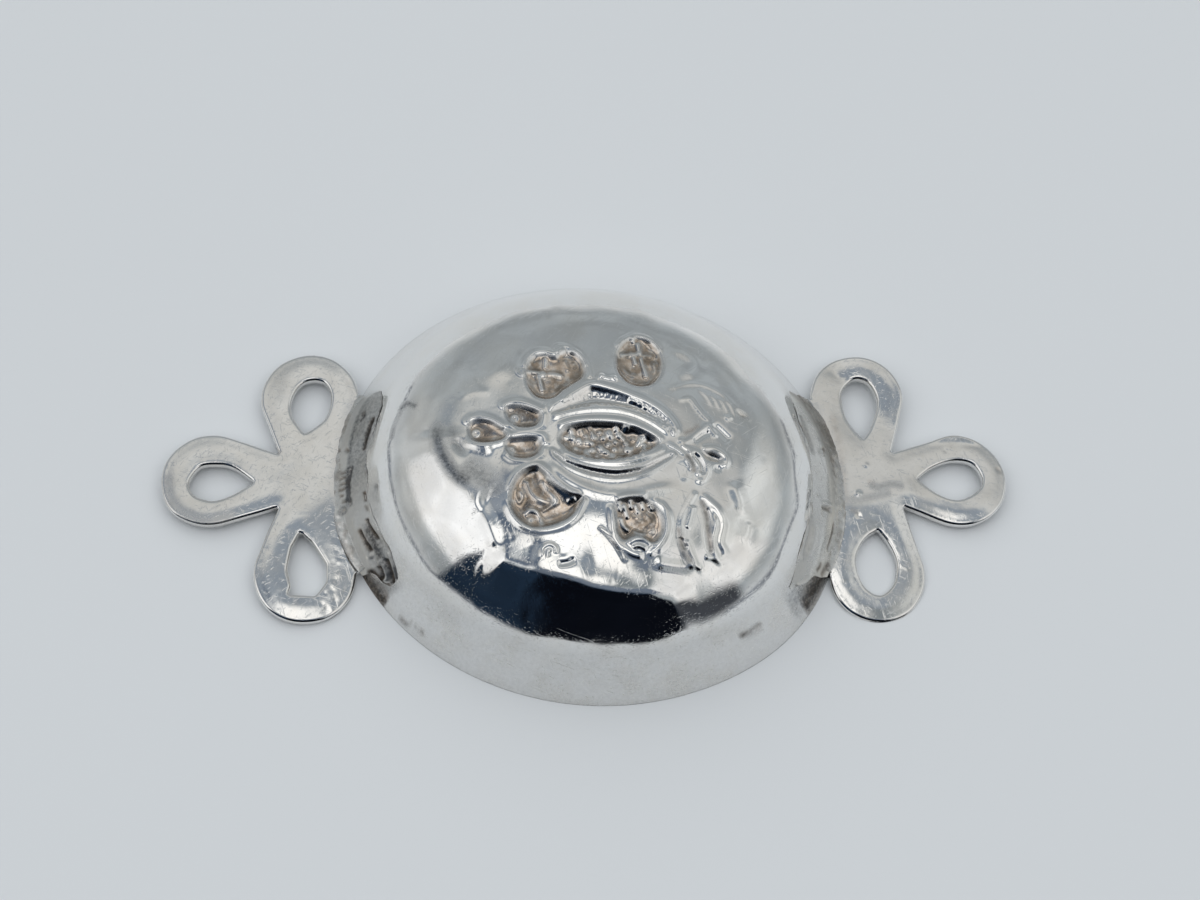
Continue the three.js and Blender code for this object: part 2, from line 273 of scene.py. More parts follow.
def from_middle(angle, distance, height):
    """Points at a distance from the bowl's middle, at a height."""
    x = BOWL_CENTRE_X + distance * np.cos(angle)
    y = distance * np.sin(angle)
    return np.column_stack(np.broadcast_arrays(x, y, height))


def over_bowl(angle, reach, lift):
    """Points over the outer face: their angle, their reach along the section and their lift."""
    drop, slope = section_at(reach)
    distance = (reach / MEAN_RADIUS) * rim_radius(angle) + lift * np.sin(slope)
    return from_middle(angle, distance, BOWL_HEIGHT - drop + lift * np.cos(slope))


WALL_REACHES = np.linspace(MEAN_RADIUS, 0, 400)
WALL_HEIGHTS = BOWL_HEIGHT - section_at(WALL_REACHES)[0]


def wall_distance(angle, height):
    """Distance of the outer wall from the bowl's middle at a height."""
    return np.interp(height, WALL_HEIGHTS, WALL_REACHES) / MEAN_RADIUS * rim_radius(angle)


# Chased ornament, seen from the underside: hollows with raised outlines

BACK_LEFT_FRUIT = [
    (-5.6, 13.8), (-7.0, 14.2), (-8.6, 14.1), (-9.8, 12.9), (-10.2, 10.8), (-9.9, 8.7),
    (-8.7, 7.0), (-7.2, 6.5), (-5.8, 6.8), (-4.4, 8.0), (-3.0, 9.0), (-1.6, 10.0),
    (-1.1, 11.4), (-1.6, 13.2), (-2.8, 14.4), (-4.2, 14.9), (-5.0, 14.5),
]
BACK_RIGHT_FRUIT = [
    (6.6, 17.5), (4.7, 16.5), (3.5, 14.3), (3.5, 11.8), (4.6, 9.8), (6.6, 8.8),
    (8.8, 9.1), (10.3, 10.8), (10.7, 13.2), (10.0, 15.7), (8.6, 17.1),
]
FRONT_LEFT_FRUIT = [
    (-8.7, -4.6), (-7.6, -5.4), (-6.0, -7.3), (-4.0, -8.8), (-2.0, -9.4), (-2.4, -10.6),
    (-3.6, -12.2), (-5.6, -13.3), (-7.8, -13.8), (-9.8, -13.6), (-11.5, -12.3),
    (-12.5, -10.4), (-12.5, -8.2), (-11.7, -6.4), (-10.4, -5.1),
]
FRONT_RIGHT_FRUIT = [
    (3.0, -10.2), (5.2, -9.6), (7.4, -9.9), (9.0, -11.2), (9.7, -13.0), (9.5, -15.0),
    (8.2, -16.2), (6.6, -15.4), (5.2, -15.3), (4.0, -15.9), (3.0, -14.8), (2.8, -13.2),
    (2.6, -11.6),
]
POD_UPPER_EDGE = [
    (-7.4, 4.0), (-5.2, 5.9), (-3.0, 7.4), (-0.3, 9.0), (2.2, 8.5), (5.0, 7.5),
    (8.0, 6.1), (10.5, 4.3), (12.0, 2.2), (12.3, 0.4),
]
POD_UPPER_TROUGH = [
    (-6.6, 4.0), (-5.0, 5.6), (-3.0, 7.0), (-0.4, 8.5), (2.2, 8.0), (5.0, 7.0), (8.0, 5.6),
    (10.3, 3.8), (11.8, 1.8), (12.0, 0.6), (10.8, 1.8), (8.4, 3.4), (5.4, 4.7), (2.0, 5.2),
    (-1.0, 5.0), (-3.8, 4.4),
]
POD_CAVITY = [
    (-5.2, 0.6), (-4.2, 1.7), (-1.6, 2.4), (1.2, 2.5), (4.0, 2.2), (6.8, 1.4), (9.4, -0.4),
    (8.0, -1.9), (5.0, -3.1), (2.0, -3.5), (-1.2, -3.2), (-3.8, -2.1), (-5.2, -0.8),
]
POD_LOWER_TROUGH = [
    (-6.3, -2.0), (-4.2, -3.6), (-1.8, -4.5), (0.8, -5.0), (3.6, -5.2), (6.8, -4.5),
    (9.4, -3.2), (11.3, -2.3), (11.6, -2.8), (9.8, -4.2), (7.2, -5.7), (3.8, -6.5),
    (0.8, -6.3), (-2.0, -5.6), (-4.4, -4.4), (-6.0, -3.0),
]
POD_SHELL_EDGE = [
    (-6.6, -3.6), (-5.4, -5.6), (-3.0, -7.4), (0.8, -8.8), (5.0, -9.1), (8.8, -8.2),
    (12.6, -7.0),
]
BUDS = [
    [(-13.3, 4.9), (-12.2, 5.6), (-10.0, 5.2), (-8.1, 4.3), (-7.9, 3.2), (-8.8, 2.1),
     (-11.0, 2.0), (-12.6, 3.0)],
    [(-18.6, 2.6), (-17.2, 3.4), (-15.2, 3.0), (-13.2, 1.4), (-13.4, 0.2), (-15.6, -0.3),
     (-17.8, 0.0), (-18.6, 1.2)],
    [(-12.9, -0.2), (-10.8, 0.2), (-8.7, 0.1), (-7.9, -0.9), (-8.4, -2.4), (-10.2, -3.1),
     (-12.2, -2.7), (-13.1, -1.5)],
]
BUD_BALLS = [(-11.8, 3.5), (-17.5, 1.3), (-12.4, -1.8)]

# Worked patches of silver, as fine square nets that the strokes are laid on
NET_PITCH = 0.1
HOLLOW_SOFTNESS = 0.2
STROKE_SOFTNESS = 0.09
STROKE_REACH = 2.5
KNOCK_REACH = 2.2

# A hollow: how far its dish spreads, the dish's share of the depth, and where its floor begins
DISH_SPREAD = 2.5
DISH_SHARE = 0.4
FLOOR_FROM = 0.05
FLOOR_TO = 0.5

# A dark line round a hollow's edge, painted shade beside a ridge, and how bare what stands proud is
# rubbed
HOLLOW_EDGE_DARK = 0.9
HOLLOW_EDGE_DARK_WIDTH = 0.2
RIDGE_SHADE = 1.4
RIDGE_SHADE_MOST = 0.5
RIDGE_SHADE_AWAY = 1.3
RIDGE_SHADE_WIDTH = 0.1
RIDGE_SHADE_TAPER = 0.15
RUBBED_FROM = 0.07
RUBBED_TO = 0.2
RUBBED_SHARE = 0.85
FILM_AND_SHADE_MOST = 1.6


def blurred(net, softness):
    """The net with each value spread softly over its neighbours."""
    reach = max(1, round(3 * softness / NET_PITCH))
    weights = np.exp(-0.5 * (np.arange(-reach, reach + 1) * NET_PITCH / softness) ** 2)
    weights /= weights.sum()
    for axis in (0, 1):
        padded = np.pad(net, [(reach, reach) if k == axis else (0, 0) for k in (0, 1)], mode="edge")
        size = net.shape[axis]
        net = sum(w * np.take(padded, range(k, k + size), axis) for k, w in enumerate(weights))
    return net


class Patch:
    """What punches, files, heat and knocks did to a patch of silver, and the shade painted on it, over
    two of its coordinates.
    """

    def __init__(self, low, high):
        self.low = low
        across = np.arange(low[0], high[0] + NET_PITCH / 2, NET_PITCH)
        along = np.arange(low[1], high[1] + NET_PITCH / 2, NET_PITCH)
        x, y = np.meshgrid(across, along)
        self.shape = x.shape
        self.places = np.column_stack([x.ravel(), y.ravel()])
        self.sunk = np.zeros(x.size)
        self.broad = np.zeros(x.size)
        self.raised = np.zeros(x.size)
        self.tarnish = np.zeros(x.size)
        self.film_and_shade = np.zeros(x.size)

    def near(self, line, margin):
        low = line.min(axis=0) - margin
        high = line.max(axis=0) + margin
        return np.flatnonzero(((self.places > low) & (self.places < high)).all(axis=1))

    def around(self, x, y, radius, reach=1.0):
        """The places around a spot, and how many radii each is away from it."""
        near = self.near(np.array([[x, y]]), reach * radius)
        return near, np.hypot(*(self.places[near] - (x, y)).T) / radius

    def hollow(self, outline, depth, wall, tarnish=0.0, lean=0.0):
        """A rounded hollow. Tarnish gathers on its floor, and lean makes its back side deeper."""
        line = smooth_line(outline, closed=True)
        near = self.near(line, 0)
        near = near[is_inside(self.places[near], line)]
        edge, _ = line_distance(self.places[near], line, closed=True)
        rounded = 1 - (1 - np.clip(edge / wall, 0, 1)) ** 2
        dished = 1 - (1 - np.clip(edge / (DISH_SPREAD * wall), 0, 1)) ** 2
        middle = (line[:, 1].max() + line[:, 1].min()) / 2
        back = (self.places[near, 1] - middle) / (line[:, 1].max() - middle)
        depths = depth * ((1 - DISH_SHARE) * rounded + DISH_SHARE * dished) * (1 + lean * back)
        self.sunk[near] = np.maximum(self.sunk[near], depths)
        floor = tarnish * smooth_step(FLOOR_FROM, FLOOR_TO, edge)
        self.tarnish[near] = np.maximum(self.tarnish[near], floor)
        # A dark line in the film round the hollow's edge, as strong as the tarnish on its floor.
        self.stroke(self.film_and_shade, outline, tarnish * HOLLOW_EDGE_DARK, HOLLOW_EDGE_DARK_WIDTH, closed=True)

    def stroke(self, layer, points, height, width, closed=False, taper=0.0):
        """A soft line added to a layer, tapered over a share of its length at both ends."""
        line = smooth_line(points, closed)
        near = self.near(line, STROKE_REACH * width)
        away, share = line_distance(self.places[near], line, closed)
        fade = np.ones(len(near))
        if taper:
            fade = smooth_step(0, taper, share) * smooth_step(0, taper, 1 - share)
        layer[near] += height * fade * np.exp(-((away / width) ** 2))

    def ridge(self, points, height, width=0.35, closed=False, taper=0.08):
        """A raised line with painted shade beside it, or a groove where the height is below zero."""
        self.stroke(self.raised, points, height, width, closed, 0 if closed else taper)
        if height > 0:
            line = smooth_line(points, closed)
            near = self.near(line, 3 * width)
            away, share = line_distance(self.places[near], line, closed)
            ends = np.minimum(share, 1 - share)
            fade = 1 if closed else smooth_step(0, RIDGE_SHADE_TAPER, ends)
            # Painted shade: a thin dark line in the film beside the raised line, where its flank would
            # mirror the dark.
            dark_line = min(RIDGE_SHADE * height, RIDGE_SHADE_MOST)
            beside = (away - RIDGE_SHADE_AWAY * width) / RIDGE_SHADE_WIDTH
            self.film_and_shade[near] = np.maximum(self.film_and_shade[near], dark_line * np.exp(-(beside**2)) * fade)

    def groove(self, points, depth, width, dark_line, dirt_width):
        """A sunk line with dirt in it."""
        self.ridge(points, -depth, width)
        self.grime_and_shade(points, dark_line, dirt_width)

    def swell(self, points, height, width, taper=0.25):
        """A broad soft rise along a line."""
        self.stroke(self.broad, points, height, width, taper=taper)

    def stain(self, points, amount, width, taper=0.1):
        """Brown tarnish along a line."""
        self.stroke(self.tarnish, points, amount, width, taper=taper)

    def cloud(self, points, amount, width, taper=0.1):
        """A dull grey film along a line, also laid as painted shade."""
        self.stroke(self.film_and_shade, points, amount, width, taper=taper)

    def grime_and_shade(self, points, amount, width):
        """Dark dirt along a line, brown where it is thin; also laid as painted shade."""
        self.stain(points, amount, width)
        self.cloud(points, amount, width)

    def mound(self, x, y, radius, height):
        """A broad round rise with a nearly level top."""
        near, away = self.around(x, y, radius, KNOCK_REACH)
        self.broad[near] += height * np.exp(-(away**4))

    def ball(self, x, y, radius, height):
        """A round boss, or a round pit where the height is below zero."""
        near, away = self.around(x, y, radius)
        self.raised[near] += height * np.clip(1 - away**2, 0, 1)

    def beads(self, points, spacing, radius, height):
        """A row of small punched balls, none quite like the next."""
        rng = np.random.default_rng(round(100 * abs(points[0][0])))
        for x, y in evenly(smooth_line(points), spacing):
            size = radius * rng.uniform(0.8, 1.25)
            x += rng.normal(0, 0.06)
            y += rng.normal(0, 0.08)
            self.ball(x, y, size, height * rng.uniform(0.6, 1.2))

    def pebble(self, outline, count, radius, height, seed):
        """Soft bumps and dips scattered inside an outline."""
        rng = np.random.default_rng(seed)
        line = smooth_line(outline, closed=True)
        spots = rng.uniform(line.min(axis=0), line.max(axis=0), (count, 2))
        for x, y in spots[is_inside(spots, line)]:
            near, away = self.around(x, y, radius * rng.uniform(0.6, 1.3), KNOCK_REACH)
            self.raised[near] += height * rng.uniform(-1, 1) * np.exp(-(away**2))

    def knocks(self, count, radius, height, seed):
        """Small round knocks and pimples, scattered over the whole patch."""
        rng = np.random.default_rng(seed)
        high = self.places[-1]
        for _ in range(count):
            x, y = rng.uniform(self.low, high)
            near, away = self.around(x, y, radius * rng.uniform(0.5, 1.5), KNOCK_REACH)
            self.raised[near] += height * rng.uniform(-1, 0.6) * np.exp(-(away**2))

    def scores(self, count, length, depth, seed):
        """Short straight scratches at all angles."""
        rng = np.random.default_rng(seed)
        high = self.places[-1]
        for _ in range(count):
            start = rng.uniform(self.low, high)
            turn = rng.uniform(0, math.pi)
            reach = length * rng.uniform(0.3, 1.0)
            end = start + reach * np.array([math.cos(turn), math.sin(turn)])
            self.ridge([start, end], -depth * rng.uniform(0.4, 1.0), 0.12, taper=0.3)

    def finish(self):
        """Soften the strokes as wear does, and lay lift, tarnish and film with its painted shade out as
        nets.
        """
        sunk = blurred(self.sunk.reshape(self.shape), HOLLOW_SOFTNESS)
        raised = blurred(self.raised.reshape(self.shape), STROKE_SOFTNESS)
        self.lift = self.broad.reshape(self.shape) + raised - sunk
        bare = RUBBED_SHARE * smooth_step(RUBBED_FROM, RUBBED_TO, raised)
        self.tarnish = blurred(self.tarnish.reshape(self.shape), STROKE_SOFTNESS) * (1 - bare)
        self.film_and_shade = blurred(self.film_and_shade.reshape(self.shape), STROKE_SOFTNESS)
        return self

    def read(self, net, x, y):
        """Values of a net at places on the patch, and nought outside it."""
        u = (x - self.low[0]) / NET_PITCH
        v = (y - self.low[1]) / NET_PITCH
        inside = (u > 0) & (v > 0) & (u < net.shape[1] - 1) & (v < net.shape[0] - 1)
        u = np.clip(u, 0, net.shape[1] - 1.001)
        v = np.clip(v, 0, net.shape[0] - 1.001)
        i, j = u.astype(int), v.astype(int)
        across, along = u - i, v - j
        front = net[j, i] * (1 - across) + net[j, i + 1] * across
        back = net[j + 1, i] * (1 - across) + net[j + 1, i + 1] * across
        return inside * (front * (1 - along) + back * along)

    def mark(self, piece, x, y):
        """Give a piece its tarnish and its film with painted shade, read at the places of its points."""
        set_attribute(piece, "tarnish", np.clip(self.read(self.tarnish, x, y), 0, 1))
        set_attribute(piece, "film_and_shade", np.clip(self.read(self.film_and_shade, x, y), 0, FILM_AND_SHADE_MOST))


# The wall is satin from here outwards, measured at the bowl's mean radius, and the film thins towards the
# back
SATIN_FROM = 30.5
SATIN_TO = 32.5
SATIN_FILM = 0.2
FILM_THINNING_AT_BACK = 0.6


def chase_back_left_fruit(work):
    """A heart-shaped fruit with crossed ribs and a doubled rim."""
    work.mound(-5.6, 10.8, 7.0, 0.15)
    work.hollow(BACK_LEFT_FRUIT, 0.7, 0.7, tarnish=0.9, lean=-0.5)
    work.pebble(BACK_LEFT_FRUIT, 60, 0.7, 0.06, seed=11)
    work.ridge([(-10.6, 11.6), (-9.9, 13.4), (-8.6, 14.7), (-7.0, 14.8), (-5.8, 14.4), (-5.2, 14.9)],
               0.17, 0.5)
    work.ridge([(-5.8, 14.8), (-5.3, 15.6), (-4.4, 15.7), (-3.2, 15.3), (-1.8, 14.2), (-0.9, 12.6),
                (-0.5, 10.8), (-0.3, 9.6)], 0.15, 0.42)
    work.ridge([(-3.6, 14.9), (-2.4, 14.4), (-1.5, 13.3), (-1.1, 11.8)], 0.15)
    work.ball(-4.7, 14.7, 0.8, 0.25)
    work.ball(-7.5, 11.0, 0.8, 0.25)
    work.ridge([(-10.0, 11.3), (-8.8, 11.3), (-8.0, 11.2)], 0.17, 0.36)
    work.ridge([(-6.9, 11.1), (-5.6, 10.9), (-4.4, 10.6)], 0.17, 0.36)
    work.ridge([(-7.2, 11.8), (-7.1, 12.8), (-7.1, 13.8)], 0.22, 0.3)
    work.ridge([(-8.3, 10.9), (-7.9, 9.6), (-7.6, 8.0)], 0.22, 0.3)
    work.ridge([(-11.3, 12.0), (-11.3, 11.2), (-10.7, 10.6), (-10.4, 11.2), (-10.9, 11.8)], 0.15, 0.25)
    work.ridge([(-4.4, 13.4), (-4.0, 12.4), (-3.6, 11.6)], 0.08, 0.4)
    work.ridge([(-3.0, 13.0), (-2.6, 12.0)], 0.08, 0.35)
    work.ridge([(-6.6, 10.4), (-6.1, 9.2), (-6.4, 8.0)], 0.08, 0.5)
    work.swell([(-17.0, 9.4), (-14.5, 11.6), (-11.8, 13.0)], 0.13, 1.6, taper=0.5)


def chase_back_right_fruit(work):
    """A round fruit with crossed ribs, and the small knot of beads beside it."""
    work.mound(7.2, 12.8, 6.0, 0.12)
    work.hollow(BACK_RIGHT_FRUIT, 0.75, 0.9, tarnish=0.9, lean=-0.5)
    work.pebble(BACK_RIGHT_FRUIT, 60, 0.7, 0.06, seed=12)
    work.ridge([(3.6, 15.4), (4.7, 16.8), (6.4, 17.7), (8.2, 17.4), (9.6, 16.3), (10.4, 14.8)], 0.17, 0.5)
    work.ridge([(4.0, 14.2), (5.4, 14.5), (7.0, 14.5), (9.6, 14.4)], 0.18, 0.38)
    work.ridge([(6.2, 17.4), (6.2, 16.4)], 0.25, 0.3)
    work.ridge([(6.9, 16.6), (7.1, 15.4), (7.3, 14.6)], 0.22, 0.32)
    work.ridge([(7.3, 14.2), (7.6, 12.9), (7.9, 11.8), (8.1, 10.6)], 0.24, 0.32)
    work.ridge([(6.2, 14.2), (6.6, 12.7)], 0.22, 0.3)
    work.ridge([(4.3, 12.8), (4.9, 11.6), (5.9, 11.0), (7.1, 11.2)], 0.15, 0.35, taper=0.3)
    work.ridge([(8.9, 13.6), (9.5, 12.2), (9.0, 10.8)], 0.13, 0.35, taper=0.3)
    work.ball(9.5, 13.7, 0.45, -0.2)
    work.swell([(11.0, 15.6), (14.0, 15.2), (15.8, 13.4), (14.8, 11.4), (12.6, 10.2)], 0.2, 1.3)
    work.ridge([(0.4, 9.7), (1.4, 10.2), (2.4, 10.0), (3.6, 10.2)], 0.16, 0.4)
    work.beads([(1.2, 10.4), (2.3, 10.5), (3.4, 10.0)], 1.1, 0.45, 0.18)


def chase_front_left_fruit(work):
    """A round fruit cut off slantwise, with a curled stalk at its foot."""
    work.mound(-7.6, -9.8, 7.4, 0.35)
    work.hollow(FRONT_LEFT_FRUIT, 0.75, 0.7, tarnish=0.95, lean=-0.25)
    work.pebble(FRONT_LEFT_FRUIT, 60, 0.8, 0.06, seed=13)
    work.ridge([(-12.9, -8.6), (-12.1, -6.4), (-10.6, -4.9), (-8.7, -4.2), (-7.3, -5.1), (-5.7, -7.0),
                (-3.8, -8.5), (-1.7, -9.1)], 0.17, 0.48)
    work.ridge([(-7.6, -6.0), (-5.8, -7.9), (-3.9, -9.3), (-2.4, -9.8)], 0.16, 0.28)
    work.ridge([(-1.7, -9.2), (-2.0, -10.6), (-3.2, -12.6), (-5.4, -14.0), (-8.4, -14.4), (-10.8, -13.5),
                (-12.4, -11.6), (-12.9, -9.4)], 0.16, 0.48)
    work.ridge([(-8.0, -6.6), (-7.2, -8.0), (-6.2, -9.2), (-5.4, -9.9)], 0.15, 0.4)
    work.ridge([(-10.2, -6.2), (-9.6, -8.2), (-8.6, -9.4), (-7.2, -9.9), (-5.6, -9.8)], 0.15, 0.55)
    work.ridge([(-8.1, -11.4), (-6.6, -10.6), (-5.2, -9.9)], 0.12, 0.3)
    work.ridge([(-11.4, -7.4), (-11.7, -8.6), (-11.3, -9.9), (-10.8, -9.0), (-11.2, -7.8)], 0.14, 0.3)
    work.ridge([(-10.6, -12.0), (-9.8, -11.2), (-8.8, -11.4), (-8.2, -12.5), (-7.9, -13.6)], 0.18, 0.4)
    work.ball(-9.5, -12.6, 0.8, 0.2)
    work.ridge([(-3.0, -9.6), (-4.2, -10.0)], 0.25, 0.35)


def chase_front_right_fruit(work):
    """A round fruit with a crown of short strokes and a tongue below."""
    work.mound(6.4, -13.2, 6.0, 0.3)
    work.hollow(FRONT_RIGHT_FRUIT, 0.65, 0.6, tarnish=0.9, lean=-0.5)
    work.pebble(FRONT_RIGHT_FRUIT, 60, 0.6, 0.07, seed=14)
    work.ridge([(8.2, -9.5), (9.8, -11.0), (10.3, -13.0), (10.0, -15.0), (8.8, -16.9), (7.2, -18.2)],
               0.14, 0.38)
    work.ridge([(9.4, -9.8), (10.6, -11.6), (10.9, -13.6), (10.3, -15.8), (8.8, -17.8)], 0.12, 0.25)
    work.ridge([(2.0, -10.2), (2.2, -12.8), (2.4, -14.8), (3.4, -16.6), (5.0, -17.8), (6.8, -18.3)],
               0.14, 0.45)
    work.ridge([(2.8, -9.8), (5.0, -9.3), (7.4, -9.3)], 0.16, 0.45)
    work.swell([(6.8, -13.3), (7.8, -12.9)], 0.3, 1.6, taper=0)
    for start, end, height in (
        ((3.2, -10.2), (3.5, -11.6), 0.25), ((3.9, -10.4), (4.6, -12.6), 0.3),
        ((4.9, -9.9), (5.1, -11.2), 0.25), ((5.6, -10.4), (6.2, -11.9), 0.3),
        ((6.6, -10.2), (6.9, -11.3), 0.25), ((7.6, -10.4), (8.2, -11.4), 0.22),
    ):
        work.ridge([start, end], height, 0.28)
    work.ridge([(3.4, -12.4), (3.8, -13.6), (4.8, -14.5)], 0.2, 0.35)
    work.ridge([(5.2, -14.4), (6.2, -14.9), (7.4, -14.9), (8.5, -14.2)], 0.17, 0.3)
    work.ridge([(4.6, -16.3), (5.6, -15.8), (6.8, -15.8), (7.8, -16.4)], 0.15, 0.3)
    work.ridge([(5.2, -17.0), (6.0, -16.7), (7.2, -17.2)], 0.2, 0.25)


def punch_seeds(work):
    """Uneven rows of small balls on the floor of the pod's cavity."""
    rng = np.random.default_rng(4)
    outline = smooth_line(POD_CAVITY, closed=True)
    for x in np.arange(-4.4, 8.8, 1.1):
        for y in np.arange(-2.9, 1.8, 1.05):
            spot = np.array([[x, y]]) + rng.uniform(-0.45, 0.45, (1, 2))
            if is_inside(spot, outline)[0]:
                work.ball(spot[0, 0], spot[0, 1], rng.uniform(0.4, 0.75), rng.uniform(0.1, 0.3))


def chase_pod(work):
    """The split pod: an upper shell, the seeds in its cavity, and a lower shell."""
    work.hollow(POD_UPPER_TROUGH, 0.95, 2.0, tarnish=0.15)
    work.ridge(POD_UPPER_EDGE, 0.19, 0.55)
    work.beads([(-4.4, 6.0), (-2.2, 6.9), (0.6, 7.2), (3.6, 6.7), (7.0, 5.5), (9.8, 3.7), (11.7, 1.4)],
               0.8, 0.42, 0.11)
    work.beads([(-3.6, 5.1), (0.4, 5.8), (4.4, 5.4), (8.0, 4.0), (10.6, 2.2)], 0.8, 0.42, 0.11)
    work.ridge([(5.0, 6.6), (7.2, 5.4), (9.4, 3.6), (11.2, 1.4)], 0.2, 0.3)
    work.ridge([(10.6, 3.0), (11.4, 1.8), (12.0, 0.6)], 0.2, 0.25)
    work.ridge([(-6.6, 3.2), (-3.8, 4.2), (0.4, 4.8), (4.4, 4.5), (8.2, 3.0), (11.6, 0.5)], 0.17, 0.5)
    work.ridge([(-5.8, 1.8), (-3.0, 2.8), (0.8, 3.1), (4.6, 2.7), (8.2, 1.2), (10.4, -0.4)], 0.17, 0.48)
    work.hollow(POD_CAVITY, 0.85, 0.8, tarnish=0.85, lean=-0.15)
    punch_seeds(work)
    work.ridge([(-5.4, -2.0), (-2.6, -3.4), (1.0, -4.0), (5.0, -3.8), (8.6, -2.5), (10.8, -1.3)],
               0.18, 0.55)
    work.hollow(POD_LOWER_TROUGH, 0.5, 0.8, tarnish=0.25)
    work.ridge(POD_LOWER_TROUGH, 0.15, 0.3, closed=True)
    work.beads([(-5.4, -3.2), (-2.4, -4.9), (1.0, -5.7), (4.4, -5.8), (7.6, -5.0), (10.6, -3.2)],
               0.62, 0.34, 0.1)
    work.ridge(POD_SHELL_EDGE, 0.14, 0.8, taper=0.15)


def chase_buds(work):
    """Three buds, each a tarnished hollow with a dimpled ball and a raised rim."""
    for outline, (x, y) in zip(BUDS, BUD_BALLS):
        work.hollow(outline, 0.5, 0.55, tarnish=0.9, lean=-0.55)
        work.ball(x, y, 0.95, 0.26)
        work.ball(x, y, 0.4, -0.12)
    work.ridge([(-13.9, 5.0), (-13.2, 5.8), (-11.8, 6.2), (-10.0, 5.8), (-8.3, 4.9), (-7.3, 4.4)],
               0.18, 0.52)
    work.ridge([(-7.3, 4.4), (-7.4, 3.0), (-7.8, 1.8), (-9.4, 1.5), (-11.4, 1.5), (-13.0, 2.6)],
               0.12, 0.4)
    work.ridge([(-19.1, 2.6), (-18.3, 3.7), (-16.8, 3.9), (-14.8, 3.2), (-12.9, 1.7)], 0.18, 0.52)
    work.ridge([(-12.9, 1.7), (-12.8, 0.4), (-14.0, -0.6), (-16.4, -0.9), (-18.6, -0.4)], 0.12, 0.4)
    work.ridge([(-13.2, 0.5), (-11.0, 0.8), (-8.6, 0.7), (-7.5, 0.1), (-7.3, -1.2)], 0.18, 0.52)
    work.ridge([(-7.3, -1.2), (-7.8, -2.8), (-9.8, -3.6), (-12.2, -3.4), (-13.6, -2.2)], 0.12, 0.4)


def chase_stems(work):
    """The stalk of the pod and the curls that grow out of it."""
    work.ridge([(12.3, 0.1), (13.4, -0.4), (14.8, 0.4), (16.2, 1.8), (17.0, 2.5), (17.8, 1.6),
                (18.3, 0.5)], 0.15, 0.42)
    work.ridge([(14.8, -0.2), (16.2, 0.9), (17.2, 1.4)], -0.3, 0.35)
    work.ridge([(12.6, -0.6), (13.6, -1.4), (15.4, -2.2), (16.4, -3.6), (16.6, -5.2), (15.8, -6.5),
                (14.8, -6.2)], 0.15, 0.38)
    work.ridge([(13.8, -1.8), (14.6, -2.8), (15.4, -4.4), (15.2, -5.8)], 0.18, 0.3)
    work.ridge([(14.6, -2.2), (15.7, -3.6), (15.9, -5.4)], -0.35, 0.35)
    work.ridge([(10.6, -0.6), (12.6, -1.8), (13.8, -3.2), (14.4, -5.0)], 0.1, 0.3)
    work.hollow([(16.0, -1.9), (17.6, -1.9), (19.0, -2.8), (18.6, -3.4), (17.2, -3.3), (16.2, -2.7)],
                0.55, 0.6, tarnish=0.4)
    work.ridge([(15.8, -1.4), (17.6, -1.2), (19.2, -2.0), (19.7, -3.2), (19.3, -4.2)], 0.15, 0.4)
    work.ball(18.3, -4.4, 0.6, -0.25)
    work.ridge([(12.0, -4.0), (13.2, -3.2), (14.2, -4.4), (13.6, -6.0), (12.2, -6.2)], 0.06, 0.4,
               taper=0.2)
    work.ridge([(17.6, 2.8), (18.6, 1.9), (19.6, 0.9), (20.4, 0.2)], -0.2, 0.6, taper=0.2)
    work.grime_and_shade([(13.2, 1.0), (14.6, 1.6), (15.8, 2.6)], 0.4, 0.4)
    work.grime_and_shade([(13.4, -2.4), (14.2, -3.6), (14.6, -5.4)], 0.5, 0.4)


def chase_leaves(work):
    """A veined leaf at the back right and a folded one at the front right."""
    work.ridge([(11.0, 8.2), (13.4, 9.2), (16.4, 9.5), (19.2, 8.2), (21.4, 6.0), (22.6, 4.6),
                (24.0, 4.0)], 0.06, 0.4, taper=0.1)
    for k in range(4):
        start = (15.6 + 1.2 * k, 9.0 - 0.5 * k)
        work.ridge([start, (start[0] + 1.6, start[1] - 1.6), (start[0] + 2.4, start[1] - 3.6)], 0.05, 0.3,
                   taper=0.3)
    work.ridge([(12.6, 6.4), (14.4, 6.9), (15.4, 5.6), (16.4, 4.2), (17.8, 2.8)], 0.1, 0.35, taper=0.15)
    work.hollow([(21.6, 5.6), (22.9, 5.0), (23.4, 4.3), (22.4, 4.0), (21.8, 4.6)], 0.3, 0.5, tarnish=0.5)
    work.ridge([(19.8, 3.8), (20.8, 4.3)], 0.1, 0.4)
    work.ridge([(14.9, -8.0), (13.6, -10.2), (12.5, -12.6), (12.4, -15.6), (13.2, -18.4), (14.6, -19.8)],
               0.16, 0.45)
    work.ridge([(14.2, -10.4), (13.7, -12.4), (13.2, -14.0)], 0.2, 0.4)
    work.ridge([(13.0, -15.6), (13.6, -17.2), (14.6, -19.2), (15.4, -19.6)], 0.2, 0.35)
    work.ridge([(12.2, -15.4), (13.0, -17.0)], -0.3, 0.3)
    work.ridge([(16.1, -10.6), (16.6, -12.4), (16.3, -14.6), (16.7, -17.4)], -0.25, 0.4)
    work.ridge([(17.0, -11.2), (17.5, -13.4), (16.9, -15.6), (17.4, -17.6), (18.4, -18.2), (18.8, -17.0),
                (18.2, -15.6), (18.7, -13.0), (18.0, -11.0), (16.6, -9.6), (15.2, -8.4)], 0.16, 0.42)
    work.ridge([(15.8, -17.9), (17.2, -18.2), (18.4, -18.9)], 0.1, 0.3)
    work.grime_and_shade([(15.4, -9.2), (16.1, -11.4), (16.4, -14.4), (16.9, -17.8)], 0.5, 0.4)
    work.grime_and_shade([(12.0, -13.6), (12.5, -16.8), (13.8, -19.2)], 0.5, 0.4)


